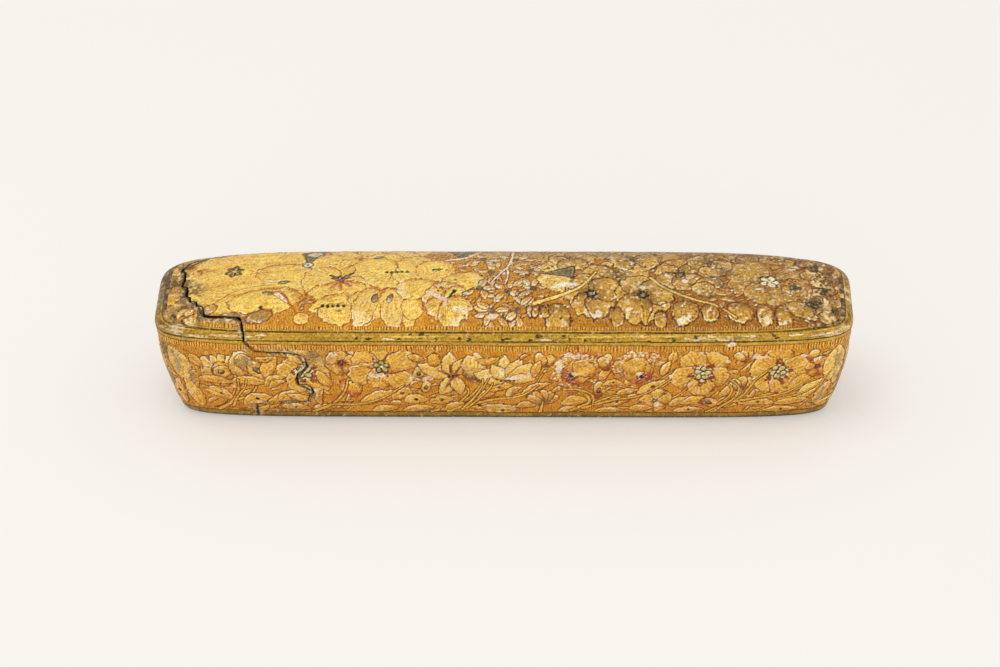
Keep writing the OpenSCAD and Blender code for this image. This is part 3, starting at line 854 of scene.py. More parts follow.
def paint_frieze(sheet):
    """Stems, then flowers and leaves, then the stems in front, and last the worn places."""
    lines(sheet, stem, ([(-103, 4), (-97, 8), (-92, 17), (-95, 21)], [(-97, 8), (-88, 12), (-83, 20)],
        [(-68, 4), (-59, 9), (-53, 19), (-54, 25)], [(-60, 8), (-48, 9), (-40, 13), (-33, 19)],
        [(-26, 4), (-16, 8), (-9, 15), (-5, 25)], [(-16, 8), (-12, 14), (-16, 20)],
        [(-22, 5), (-6, 10), (8, 14), (15, 25)], [(26, 4), (31, 10), (25, 14), (17, 19)],
        [(26, 4), (36, 11), (48, 15), (57, 23)], [(72, 4), (79, 9), (81, 15), (76, 20)],
        [(79, 9), (84, 18), (88, 27)], [(78, 8), (90, 12), (99, 15), (107, 21)],
        [(-120, 6), (-112, 11), (-107, 20)], [(40, 6), (52, 7), (60, 12), (64, 17)]), 1.0, GOLD * 0.9)

    paint(sheet, (
        (leaf, -124, 6, 80, 17, 7, 1.5, OLIVE), (leaf, -119, 30, -80, 15, 6, -1.5, PALE),
        (leaf, -113, 31, -78, 17, 8, 1.0, PALE), (leaf, -108, 4, 100, 14, 6, -1.2, GOLD),
        (leaf, -114, 5, 85, 12, 5, 0.8, GOLD, PURPLE),
        (flower, -96, 22.5, 8, 11, 80, PALE, dict(eye=None, plump=1.3, frill=0.04, veins=3)),
        (petal, -92, 20.5, 150, 7.5, 7.5, GOLD, dict(lift=0.3, veins=7)), (bud, -98.8, 21.2, 18, 6.6, 5.0),
        (leaf, -105, 18.5, -6, 12, 3.6, 0.6), (leaf, -104, 14, -28, 12, 5.2, 1.0, GOLD, PURPLE),
        (leaf, -106, 29, -55, 7, 3.6), (petal, -91, 20.5, 68, 11, 7.5, PALE, dict(lift=0.45)),
        (petal, -87, 23, 100, 7, 5.5, GOLD), (bud, -86, 26.5, -52, 9, 6.2),
        (leaf, -81.5, 19.5, 62, 12, 5, 0.6), (leaf, -93, 18.5, -4, 12.5, 4.2, 0.4),
        (leaf, -92, 7, 18, 13, 5, 1.3, GOLD, INK), (leaf, -84, 5.5, 50, 9, 4, -0.6),
        (leaf, -79, 9, 30, 10, 4.2, 0.6), (pansy, -67.5, 22.6, 9.6, 100),
        (leaf, -79, 6.5, -6, 11, 3.6, 0.5, GOLD, PURPLE), (leaf, -66, 10, 165, 10, 3.8, 0.7),
        (flower, -54.5, 27, 5.2, 5, 20, GOLD, CRIMSON, None, "dots"),
        (petal, -55, 19, -70, 8, 5, PALE, RED), (leaf, -59, 16, 118, 9, 4, 0.5),
        (petal, -53, 11.5, 70, 8, 5.5, GOLD, RED), (leaf, -68, 5.4, 5, 9, 3.2, 0.4, GOLD, CRIMSON),
        (fan, petal, -41.5, 25, ((92, 8, 6.5), (150, 10, 8), (205, 12, 9), (262, 9.5, 8), (318, 12, 9),
            (20, 13, 8.5)), GOLD, None, PALE, dict(frill=0.06, frills=9, veins=12)),
        (fan, petal, -41.5, 25, (60, 120, 180, 240, 300, 0), 4.2, 0.9, CRIMSON * 1.3,
            dict(lift=0.2, line=0.08, line_colour=CRIMSON, wear=0)),
        (rosette, -41, 25.2, 2.3, 5, 20, rgb(176, 164, 96)), (leaf, -51, 7.5, 20, 18, 5, 1.2),
        (leaf, -39, 10.5, 30, 9.5, 5, 0.6, GOLD, PURPLE), (leaf, -47, 4.6, 8, 10, 3.4, 0.4),
        (leaf, -35, 9.5, 5, 9, 5, 0.5, GOLD, INK), (leaf, -36, 4.6, 8, 12, 3.4, 0.5),
        (leaf, -32, 30, -20, 6, 3), (bud, -29.5, 20, 70, 5.4, 3.6, PALE),
        (bud, -27, 13.6, 80, 5.4, 3.4, PALE),
        (fan, leaf, -17, 21, ((155, 13, 6.6), (95, 11, 6), (240, 10, 5.6), (285, 9, 4.6), (62, 9, 4.8)),
            0.3, PALE, dict(rib=0.3, lift=0.36)),
        (fan, petal, -17, 21, (150, 100, 240, 60), 5, 0.7, PURPLE * 1.6,
            dict(lift=0.2, line=0.06, line_colour=PURPLE, wear=0)),
        (dot_row, -17, 21.2, 3, 1.5, 0.6, 15),
        (petal, -9.5, 18.5, 92, 12, 8, PALE, PURPLE, None, dict(frill=0.05)),
        (petal, -23, 31, -95, 5.5, 4.4, GOLD), (leaf, -26, 9, 8, 9, 4.6, 0.5, GOLD, PURPLE),
        (leaf, -21, 4.6, 25, 9, 3.6, 0.8), (leaf, -13.5, 8, -12, 10, 4.8, 0.6, GOLD, INK),
        (leaf, -9, 11, 40, 10, 3.6, -0.6), (leaf, -6, 14.5, 15, 10, 4, 0.6, GOLD, PURPLE),
        (leaf, -8, 7, 0, 15, 5.4, -1.9, OLIVE * 1.1, PURPLE),
        (fan, leaf, 1.5, 19.5, ((165, 12, 7), (95, 11, 5.4), (128, 9, 5), (62, 11, 5), (32, 13, 5.6),
            (2, 10, 4.6)), 0.4, PALE, dict(rib=0.3, lift=0.36)),
        (dot_row, 1.5, 19.2, 4, 1.4, 0.6), (blob, 4.5, 20.6, 3.2, 0.8, WHITE, 12),
        (blob, -0.5, 23, 1.0, 1.6, CREAM), (blob, -6.5, 21, 2.2, 0.6, CREAM, 15),
        (leaf, 6, 12.5, 28, 12, 3.6, 0.8), (leaf, 4, 6.5, 12, 10, 3.4, 0.4),
        (fan, petal, 13.8, 8.6, (30, 60, 90, 120, 150), 6.4, 3.4, GOLD, GREY, None, dict(veins=4)),
        (stem, [(13, 4), (13.8, 9)], 1.4, GOLD), (petal, 14, 25.5, 60, 5.4, 3.8, PALE, PURPLE),
        (petal, 12, 31, -75, 5, 4, GOLD), (leaf, 10.5, 20.5, 75, 8, 3.2, 0.4), (cup, 25.5, 23, 9.2, 38),
        (leaf, 36, 31, -120, 7, 3.6, 0, PALE), (leaf, 33, 18.5, 62, 9, 3.4, 0.6),
        (petal, 35.5, 24, 118, 6, 4, GOLD, CRIMSON), (bud, 32.5, 11.6, 82, 7.4, 4, GOLD, INK, CRIMSON),
        (leaf, 20, 8, 10, 10, 5, 0.9), (leaf, 19, 4.6, 8, 10, 3.2, 0.3),
        (leaf, 35, 7.2, 18, 10, 4.6, 0.8, GOLD, PURPLE), (leaf, 32, 4.6, 2, 11, 3, 0.3),
        (cup, 45.6, 23.6, 9, 120), (leaf, 46, 13, 28, 13, 4.8, 0.6, GOLD, INK),
        (leaf, 39, 13, 15, 8, 3, 0.3), (flower, 53, 9.8, 5.4, 5, 90, GOLD, None, PALE, "dots"),
        (leaf, 56.5, 26.5, 80, 6, 3.4), (leaf, 54, 21.5, 70, 7, 3, 0.4, PALE),
        (leaf, 44, 5.6, 4, 9, 3.4, 0.4), (pansy, 67.7, 22.4, 10, 52), (leaf, 58, 7, 30, 9, 3.8, 0.5),
        (leaf, 62, 8.6, 8, 11, 4.2, 0.7), (leaf, 60, 4.8, 4, 11, 3, 0.3, GOLD, INK),
        (bud, 69, 10, -20, 7, 4, GOLD, INK, CRIMSON), (leaf, 79, 25.5, 60, 6, 3.2),
        (fan, petal, 81, 28, (30, 65, 100, 135), 4.4, 3.2, PALE, dict(veins=4)),
        (fan, petal, 81.8, 15, (60, 95, 130), 6, 3.6, PALE, GREY_DARK, dict(veins=4)),
        (leaf, 82, 8.5, -3, 14, 4, 0.9, GOLD, INK), (leaf, 86, 14, 16, 10, 3.2, 0.5),
        (pansy, 93.2, 22.8, 10, 90), (leaf, 95, 12.6, 18, 10, 3.6, 0.5), (leaf, 98, 14, 42, 12, 5, 0.6),
        (leaf, 102, 8.6, 48, 13, 5.6, 0.6, PALE, INK), (leaf, 95, 8, 4, 13, 3.6, 0.4),
        (leaf, 92, 4.8, 0, 13, 3.2, 0.3, GOLD, INK), (petal, 103, 27, 60, 5, 3.8, PALE, RED),
        (flower, 106.5, 24, 4.6, 5, 30, GOLD, RED), (leaf, 113, 31.5, -82, 18, 9, -1.2, PALE),
        (leaf, 119, 30, -86, 15, 6, 1.0, OLIVE), (leaf, 111, 5, 80, 12, 5.4, 0.8),
        (leaf, 121, 5, 95, 13, 6, -0.8, OLIVE)))
    for side in (-1, 1):
        flower(sheet, side * 134.9, 20, 10, 6, 90, OLIVE, CRIMSON, None, "cross")
        leaf(sheet, side * 129, 5, 90 - side * 40, 9, 4)
        leaf(sheet, side * 128, 29, 90 + side * 60, 8, 4)
    each(sheet, fill_leaves, (((8, 12), 900, 5), ((5, 8), 1200, 6), ((3, 4.6), 900, 7)),
         (-134, 134), (4.2, 31), GOLD)

    paint(sheet, (
        (lines, stem, ([(-20, 4), (-13, 8), (-8, 14), (-5, 20)], [(-14, 7), (-4, 10), (6, 12), (12, 17)],
            [(74, 4), (79, 8.5), (82, 14), (79, 19)], [(78, 7), (83, 12), (86, 19), (90, 24)],
            [(24, 5), (30, 9), (27, 14), (20, 16)], [(28, 6), (38, 10), (48, 12.5), (57, 20)],
            [(-68, 4), (-60, 8), (-55, 14), (-53, 20)], [(-60, 7.5), (-50, 8), (-42, 11), (-34, 17)],
            [(-102, 4), (-96, 8), (-92, 14), (-91, 19)], [(79, 9), (89, 11), (98, 13), (106, 19)]), 1.2,
            GOLD * 0.86, 0.34, 0.17),
        (lines, stem, ([(-15, 5), (-11, 10), (-7.5, 16), (-7, 20)],
            [(-13, 6), (-9, 10), (-5, 15), (-3.5, 18)], [(76, 6), (80.5, 11), (81, 16), (77, 20)],
            [(75.5, 8), (78.5, 12), (78.5, 16), (75, 18.5)], [(21, 15), (26, 15), (31, 12), (31.5, 6)],
            [(-96, 6), (-93, 11), (-89.5, 15), (-88, 19)], [(96, 10), (103, 12), (109, 16), (112, 21)]),
            0.9, GOLD * 0.86, 0.3, 0.15)))

    paint(sheet, (
        (each, blob, ((-115.5, 28, 1.6, 3.4, GREY_DARK), (-110.5, 24, 1.8, 4.5, GREY),
            (-117, 17, 1.6, 4, GREY), (-107, 19, 1.2, 2.5, GREY), (-87, 26.8, 2.8, 1.8, GREY),
            (-63, 29, 3.6, 2.6, GREY), (-79, 5.2, 4.5, 0.9, GREY_DARK), (-92, 4.6, 3.5, 0.8, PURPLE),
            (-28, 4.6, 3, 0.7, GREY), (114, 24, 1.6, 5, GREY), (117, 17, 1.4, 6, GREY_DARK),
            (111, 11, 1.2, 2.5, GREY), (109, 6, 1.5, 2, GREY)), 0, 1.5, 0.62, dict(edge=0.5)),
        (each, blob, ((-25.5, 20, 1.6, 1.2), (-31.5, 19.5, 0.8, 1.6), (-43, 21.5, 2.4, 0.7),
            (18.8, 25.5, 0.8, 2.2), (23, 30.2, 2, 0.6), (35, 28.6, 0.8, 0.9), (53.5, 8.5, 1.2, 1.0),
            (76, 27.6, 1.0, 0.6), (57, 21, 0.5, 0.6), (85, 29.6, 1.2, 0.8), (-51, 31.2, 1.0, 0.6),
            (101, 29, 1.2, 0.6), (-9, 30.6, 1.0, 0.5), (9, 22, 0.6, 0.6)), WHITE, 0, 1.3, 0.7)))


# Layout of the flower field on the top: position along and across the box in millimetres

SOFT_PETAL = dict(fat=0.5, lift=0.25, veins=16, vein_share=0.16, line=0.08, line_colour=OCHRE * 1.1, wear=0.1,
                  halo=0.1, strength=0.25)
THIN_PETAL = dict(lift=0.3, veins=14, vein_share=0.15, line=0.13, line_colour=SIENNA, wear=0.1, halo=0.4)
PALE_BLOOM = dict(vein_share=0.22, veins=12, line=0.15, line_colour=SIENNA, wear=0.2, halo=0.35,
                  strength=0.55)
PALE_PETAL = dict(PALE_BLOOM, lift=0.3, vein_share=0.2)


def paint_top(sheet):
    """The flower field, from the large petals at the left to the stained right end."""
    chance = np.random.default_rng(41)
    paint_left(sheet)
    paint_pale_flowers(sheet)
    paint_middle(sheet, chance)
    paint_right(sheet)
    paint_losses(sheet, chance)


def paint_left(sheet):
    """The back row and the large soft petals of the left end."""
    stem(sheet, [(-28, 14), (-12, 18), (4, 20)], 1.2, PALE)
    back_row = [(-95, 19), (-76, 19), (-50, 16), (-32, 18), (-6, 17), (14, 15), (34, 17), (52, 14), (72, 17),
                (92, 15)]
    for place, (x, y) in enumerate(back_row):
        tint = LEMON * 0.95 if x < -10 else OLIVE
        bloom(sheet, x, y, 9, 5 + place % 2, 40 * place, tint, None, None, "dots", vein_share=0.15, line=0.14)
    paint(sheet, (
        (each, petal, ((-109, 1, 0, 47, 36), (-106, 11, -3, 38, 13), (-108, 2, -2, 44, 18),
            (-107, -8, -6, 34, 15), (-99, -14, -3, 26, 11)), LEMON, SOFT_PETAL),
        (petal, -92, -14.5, 4, 24, 13, LEMON, None, None, 0.55, THIN_PETAL),
        (petal, -84, 3, -4, 20, 12, LEMON, None, PALE, 0.6, THIN_PETAL),
        (polygon_patch, [(-79.5, -9), (-69.5, -19), (-74.5, -9.5)], RED, RED, 0.2, 0.75),
        (polygon_patch, [(-78, -10.4), (-70.2, -18.4), (-75.2, -10.2)], CREAM, RED, 0.16),
        (leaf, -81, -9, -30, 4.6, 2.0, dict(tint=GREEN_GREY, line_colour=INK, rib=0))))
    for i in range(6):
        ray = math.radians(60 * i + 15)
        leaf(sheet, -91.5 + 0.7 * math.cos(ray), 6 + 1.1 * math.sin(ray), 60 * i + 15, 2.5, 1.7,
             tint=OLIVE_DARK, line_colour=INK, lift=0.1, line=0.4, rib=0)
    paint(sheet, (
        (dot, -81, -17.6, 0.8, INK), (dot, -79.6, -16.6, 1.0, OCHRE, 0.6),
        (leaf, -76, -4, 6, 4.2, 2.0, dict(tint=GREY, line_colour=PURPLE, rib=0)),
        (each, blob, ((-93, 12, 2.2, 1.0), (-84, 8, 2.0, 1.0), (-68, 4, 2, 1), (-88, -6, 1.4, 0.8)),
            rgb(236, 180, 120), 10, 0.7, 0.5),
        (each, blob, ((-103, 7, 7, 3), (-97, -2, 8, 3), (-90, -9, 7, 2.4), (-84, 1, 6, 2), (-98, 13, 6, 2)),
            OCHRE, 20, 1.0, 0.3, dict(edge=0.6)),
        (crack, [(-98, -14), (-90, -7), (-82, -5), (-75, -4.5)], 0.25, OLIVE_DARK, 0.7),
        (lines, crack, ([(-104, -3), (-97, -5), (-92, -9)], [(-86, 3.5), (-74, 3.2), (-62, 3.6)],
            [(-104, 8), (-96, 8.8), (-87, 8.2)], [(-68, -10.4), (-56, -10.8), (-45, -10.4), (-36, -10.9)],
            [(-60, 9), (-50, 9.6), (-38, 9.2)]), 0.2, OLIVE_DARK, 0.5)))
    for x, y, length, width, angle in (
            (-113, -9, 8, 6, 75), (-110, -16, 8, 6, 30), (-114, 2, 7, 6, 95), (-107, -20, 9, 5, 5),
            (-97, -21.5, 9, 4, 8), (-111, 10, 7, 5, 110), (-86, -21.5, 9, 4, 12), (-101, -18, 6, 4, 40)):
        petal(sheet, x, y, angle, length, width, GOLD if x < -104 else OLIVE, None, None, wear=0.6)


def paint_pale_flowers(sheet):
    """The pale flowers left of the middle."""
    paint(sheet, (
        (bloom, -55, -4.5, 13, 5, 18, LEMON, None, PALE, None, PALE_BLOOM),
        (each, petal, ((-65, -11, 2, 19, 10), (-64, -18.5, 12, 14, 8), (-51, -13, -35, 13, 9),
            (-68, 6, 20, 14, 8), (-48, 8, 15, 13, 8), (-72, -8, 190, 3, 3)), LEMON, None, PALE, PALE_PETAL),
        (fan, petal, -55, -4.5, (-150, -120, -85, -50, -25), 5.4, 1.1, ROSE,
            dict(lift=0.2, line=0.08, line_colour=ROSE, vein_share=0, wear=0)),
        (fan, leaf, -55, -4, ((140, 5), (40, 6.5), (15, 3.6), (165, 3.2), (95, 2.6), (-60, 2.4)), 1.0,
            dict(tint=GREY_DARK, line_colour=INK, rib=0, lift=0.2, line=0.16)),
        (each, petal, ((-62, -19.6, -4, 12, 6.5), (-70, -21.5, 2, 5, 3.6), (-50, -19.5, -30, 7, 5),
            (-33, -19.5, -60, 5, 4)), LEMON, None, PALE, PALE_PETAL),
        (blob, -54.4, -19.4, 1.0, 0.5, PURPLE, 0, 0.8, 0.7), (dot_row, -56.8, -17.6, 5, 1.75, 0.66),
        (bloom, -36, 3.5, 13.5, 6, 10, LEMON, None, PALE, None, PALE_BLOOM),
        (dot_row, -36, -0.7, 5, 1.7, 0.72)))
    for x, angle in ((-43, -112), (-38, -84)):
        petal(sheet, x, -10, angle, 15, 8, PALE, None, CREAM, fat=0.45, **PALE_PETAL)
        leaf(sheet, x - 0.5, -16.5, 70, 4, 1.9, tint=GREY, line_colour=PURPLE, rib=0, lift=0.2)
    paint(sheet, (
        (petal, -31, -14, -80, 8, 7, LEMON, None, PALE, PALE_PETAL),
        (petal, -22, -7, 98, 14, 13, LEMON, PALE, None, dict(PALE_PETAL, fat=0.55)),
        (petal, -20, -7, 5, 13.5, 9.5, LEMON, None, CREAM, PALE_PETAL),
        (petal, -22, -8, 195, 14, 9.5, LEMON, None, CREAM, PALE_PETAL),
        (bloom, -19, -15, 8.6, 5, 20, LEMON * 0.95, None, CREAM, None,
            dict(line=0.17, line_colour=SIENNA, wear=0.4)),
        (crack, [(-18.8, -15.5), (-16.3, -11.6)], 0.8, INK, 0.95), (dot, -16.3, -11.6, 0.85, INK),
        (blob, -21.5, -14, 4, 0.8, rgb(232, 208, 190), -28), (blob, -14, -19, 2.6, 1.0, CREAM, -10),
        (each, leaf, ((-46, 19), (-44, 9.5), (-30, 20), (-24, 0)), 15, 3.4, 1.6,
            dict(tint=GREEN_GREY, line_colour=GREY_DARK, rib=0, lift=0.2))))


def paint_middle(sheet, chance):
    """Sprays of small leaves round grey hearts."""
    for x, y, spread, count in (
            (1.5, -11, 7, 12), (-4, -1, 6, 9), (4, 8, 6, 8), (5, -19, 6, 9), (-4, -19, 6, 10), (9, 0, 5, 7),
            (-7, 8, 6, 8), (-8, -10, 5, 7), (10, -10, 4, 6)):
        for _ in range(count):
            angle = chance.uniform(0, 360)
            start = spread * chance.uniform(0.1, 0.55)
            tone = chance.uniform(0.7, 1.04)
            leaf(sheet, *step_from(x, y, start, angle), angle + chance.uniform(-40, 40),
                 chance.uniform(3.4, 5.6), chance.uniform(1.8, 2.8), 0.3,
                 mix(PALE, CREAM, chance.uniform(0, 1.0)) * tone, line=0.2)
        dot(sheet, x, y, 1.3, GREY_DARK, 0.8)
    paint(sheet, (
        (stem, [(3, 16), (2.5, 8), (1, 2), (-4, -7)], 1.1, CREAM, 0.3),
        (stem, [(1.2, 2), (1.4, -4), (0.5, -8)], 0.9, CREAM, 0.3)))


def paint_right(sheet):
    """The olive flowers of the right half."""
    paint(sheet, (
        (petal, 11.5, -4.5, -10, 13.5, 11.5, PALE * 0.95, None, CREAM, dict(wear=0.6)),
        (petal, 12, 1, 20, 12, 8, PALE * 0.9, None, CREAM, dict(wear=0.6))))
    for x, y, radius, count, eye in (
            (38, -2, 10.5, 5, "dots"), (29.5, -12.5, 10, 5, "star"), (46.8, -13, 10, 5, "star"),
            (59.5, 0, 9.5, 5, "star"), (22.5, 9, 8, 5, "dots"), (44, 9, 8.5, 5, "dots"),
            (80, 9, 7, 5, "dots"), (69.5, 9, 7, 5, "dots"), (102.5, -11.5, 9, 5, "star"),
            (84, 18, 7, 5, "dots")):
        tint = OLIVE if x < 60 else mix(OLIVE, OLIVE_DARK, 0.35)
        bloom(sheet, x, y, radius, count, 17 * radius, tint, OLIVE_DARK, PALE * 0.9, eye, wear=0.5, veins=15,
              line=0.24, line_colour=DARK_BROWN)
    paint(sheet, (
        (each, petal, ((17.5, -17, -80, 8, 9), (60.5, -15, -85, 8, 9), (74, -3, 200, 9.5, 7.5),
            (75, 2.5, 170, 9, 6), (70.5, -12, 130, 9, 8), (79.5, -14.5, -95, 8, 8.5),
            (68.5, -16, -80, 6.5, 6), (87, -14.5, -85, 8.5, 5.5), (93, -15, -80, 8.5, 5.5),
            (53, -19, -100, 5, 4), (37, -18, -70, 6, 4.6), (8.5, -17, -75, 4.5, 2.4),
            (11.5, -17, -105, 4.5, 2.4), (13, -18, -60, 4, 2.6), (105, -2, 30, 8, 6), (108, -8, 10, 6, 5)),
            OLIVE, OLIVE_DARK, PALE, dict(wear=0.6, veins=6, line=0.26, line_colour=DARK_BROWN)),
        (bloom, 89.5, -0.5, 14, 6, 20, OLIVE * 0.9, OLIVE_DARK, None, None,
            dict(veins=16, wear=0.4, line=0.17)),
        (rosette, 89.5, -0.3, 3.0, 5, dict(tint=CREAM)),
        (polygon_patch, [(13, -2.2), (23.6, -4.6), (24, 3.2)], rgb(104, 92, 74)),
        (lines, crack, ([(15, -1.6), (20, 0.4), (23.2, 1.9)], [(23, -3.6), (23.2, 1.6)],
            [(17, -2.4), (22, -3.2)]), 0.35, GREY * 1.2, 0.55),
        (blob, 20, -8.6, 4.0, 1.0, WHITE, 18),
        (stem, [(10.5, -16.5), (19.6, -13), (26.6, -8.5), (31, -0.5)], 1.4, PALE),
        (stem, [(49.5, -3), (54, -9), (63, -14), (71, -16.6), (78, -21)], 1.3, PALE * 0.9),
        (bloom, 98, -2.5, 5.6, 5, 10, OLIVE * 0.9, None, None, "ring", dict(wear=0.5)),
        (each, fill_leaves, (((6, 9), 500, 9), ((3.6, 5.5), 900, 10), ((2.4, 3.4), 900, 11)), (-70, 109),
            (-22, 21), OLIVE * 1.05)))


def paint_losses(sheet, chance):
    """Grey patches, stains, worn places and specks."""
    paint(sheet, (
        (polygon_patch, [(-69, 16), (-66.4, 6), (-59.5, 19)], rgb(112, 100, 82)),
        (blob, -64.4, 14.4, 2.4, 1.8, CREAM * 0.8, 30), (dot, -66.5, 6.6, 1.9, GREY_DARK),
        (dot, -66.5, 6.6, 1.25, WHITE), (dot, -66.5, 6.6, 0.55, INK),
        (polygon_patch, [(-19, 17), (-14.5, 8), (-9, 18)], rgb(112, 104, 84)),
        (crack, [(-19, 7.5), (-13, 9.5), (-8, 16)], 0.7, CREAM, 0.9)))
    for x, y, wide, high, angle in (
            (-93, -20.5, 5.5, 1.6, -4), (-82, -20.6, 5, 1.8, 4), (-100, -19.5, 2.8, 1.8, 10),
            (-108, -5, 4, 2, 80), (-112, -13, 3, 2, 60), (34, 13, 5, 2, 5), (62, 19, 8, 2, -4),
            (88, 20, 9, 2, -8), (70, -1, 2, 2.5, 60), (76, 4, 2.5, 2, 0)):
        blob(sheet, x, y, wide, high, mix(GREY, OLIVE_DARK, 0.4), angle, 1.2, 0.55)
    paint(sheet, (
        (blob, 110, 8, 4, 6, DARK_BROWN, 0, 1.2, 0.6), (blob, 102, 15, 9, 3, DARK_BROWN, -12, 1.2, 0.65),
        (lines, stem, ([(101, 9), (105, 6), (108.5, 2)], [(104, 2), (108, 0), (109.5, -5)],
            [(96, 16), (104, 12), (109, 9)]), 1.2, GOLD, 0.2),
        (each, petal, ((101, 4, 60, 7, 5), (106, -12, 20, 5, 4), (105, -17, -20, 5, 3.6),
            (99, 13, 30, 7, 4), (109, -3, 80, 6, 4)), OLIVE, OLIVE_DARK, PALE,
            dict(wear=0.5, line=0.22, line_colour=DARK_BROWN))))
    for x, y, wide, high in (
            (97, 9.5, 2, 1.0), (99, 11.5, 1.2, 0.8), (104.5, 9.5, 1.6, 0.8), (46.5, -9.5, 1.4, 1.2),
            (61, -21.5, 3.2, 1.8), (88, -21, 1.4, 1.8), (94, -22, 1.2, 1.4), (32, -20, 1.2, 1.6),
            (42, -19, 1.4, 0.8), (55, -1.5, 1.2, 1.6), (61, -4.5, 1.4, 1.4), (86, -6, 1.6, 0.8),
            (24, -8, 2, 1.2), (-3, -21, 2.4, 0.9), (71, 6, 0.8, 0.8)):
        blob(sheet, x, y, 0.8 * wide, 0.8 * high, WHITE, 15, 1.2, 0.75)
    for _ in range(420):
        x = 108 - 130 * chance.random() ** 1.3
        y = chance.uniform(-22, 20)
        tone = INK if chance.random() < 0.45 else (CREAM if chance.random() < 0.4 else BROWN)
        blob(sheet, x, y, chance.uniform(0.25, 0.7), chance.uniform(0.2, 0.45), tone, chance.uniform(0, 180),
             0.8, 0.8)


# Ground colours, border ticks and the lines that run round the box

def wall_ground(u, z):
    tone = 0.8 + 0.24 * grain(u, z, 6.0, 71) + 0.24 * grain(u, z, 1.2, 72)
    return mix(OCHRE, SIENNA, 0.3 * smooth(0.5, 0.8, grain(u, z, 2.4, 76))) * tone[:, None]


def top_ground(x, y):
    tone = 0.82 + 0.24 * grain(x, y, 7.0, 73) + 0.16 * grain(x, y, 1.5, 74)
    brown = 0.65 * smooth(-14, 60, x + 10 * (grain(x, y, 9.0, 75) - 0.5))
    ground = mix(OCHRE, rgb(122, 70, 28), brown)
    return mix(ground, OLIVE, 0.7 * smooth(-97, -105, x)) * tone[:, None]


def paint_ticks(sheet, zone, along, ground):
    """A bare border next to a line, with short strokes across it."""
    jitter = 1.2 * grain(along, sheet.v, 3.0, 81) + 0.45 * grain(along, sheet.v * 0, 1.3, 85)
    stroke = smooth(0.0, 0.8, np.sin(2 * math.pi * (along / TICK_PITCH + jitter)))
    fade = np.clip(0.42 + 0.9 * grain(along, sheet.v, 4.0, 82), 0, 0.95)
    sheet.coat(zone, mix(ground, rgb(240, 190, 92), 0.25), 0.0)
    sheet.shade(sheet.all, fade * zone * stroke, rgb(124, 52, 14))


def painted_wall(run, level):
    """The wall with its frieze, the gold strip under the band and the dark foot."""
    wall = Sheet(run, level, wall_ground(run, level))
    paint_frieze(wall)
    uneven = 0.9 * (grain(run, level, 2.5, 83) - 0.5)
    paint_ticks(wall, smooth(TICKS_Z, TICKS_Z + 0.2, level + uneven), run, wall_ground(run, level))
    wall.height += 0.4 * smooth(32.5, 35.8, level)
    z = level + 0.4 * (grain(run, level * 0, 9.0, 51) - 0.5)
    worn = grain(run, level, 2.2, 52)
    wall.coat(smooth(STRIP_Z, STRIP_Z + 0.2, z), BAND_GOLD * (0.9 + 0.3 * worn)[:, None])
    wall.coat((0.5 + 0.4 * worn) * (1 - smooth(0.12, 0.3, np.abs(z - STRIP_Z + 0.05))), rgb(132, 58, 22))
    wall.coat(0.9 * smooth(LINE_Z, LINE_Z + 0.25, z), BAND_LINE)
    wall.coat(1 - smooth(FOOT_Z, FOOT_Z + 0.2, z), OLIVE * (0.36 + 0.4 * worn)[:, None])
    wall.coat((0.6 + 0.3 * worn) * (1 - smooth(0.15, 0.5, np.abs(z - FOOT_Z - 0.25))), DARK_BROWN)
    wall.coat(0.8 * (1 - smooth(1.5, 2.3, z)), DARK_BROWN)
    blob(wall, 76, 34.8, 1.5, 0.9, WHITE, 0, 0.9, 0.85)
    return wall


def painted_band(run, turn):
    """The gold band, streaked, lined, stained and given painted highlights, with its height given as an angle
    of the dome's curve.
    """
    band = Sheet(run, turn, BAND_GOLD)
    streak = grain(run, turn * 4, 5.0, 57)
    fine = grain(run, turn * 0.2, 0.9, 58)
    sway = grain(run, turn * 0, 11.0, 61) - 0.5
    band.coat(np.ones(len(run)), BAND_GOLD * (0.6 + 0.4 * streak + 0.4 * fine)[:, None])
    band.coat(0.85 * (1 - smooth(LOWER_LINE, LOWER_LINE + 0.7, turn + sway)), BAND_LINE)
    upper = turn + 0.4 * sway + 1.3 * smooth(104, 116, np.abs(run))
    band.coat(0.85 * smooth(UPPER_LINE, UPPER_LINE + 0.6, upper), BAND_LINE)
    mottle = 0.55 * grain(run + 0.2 * turn, turn * 0.3, 2.1, 59) + 0.45 * grain(run, turn * 0.5, 0.8, 60)
    patchy = mix(rgb(84, 60, 32), rgb(214, 170, 92), smooth(0.36, 0.64, mottle))
    band.coat(smooth(RIM_ANGLE, RIM_ANGLE + 0.6, upper), patchy)
    for level, swing in ((3.0, 1.0), (10.4, -1.0), (6.4, 2.0)):
        line = 1 - smooth(0.2, 0.8, np.abs(turn + swing * sway - level))
        band.coat(0.4 * line * grain(run, turn * 0, 4.0, 62), OLIVE_DARK)
    band_stains_and_highlights(band)
    return band


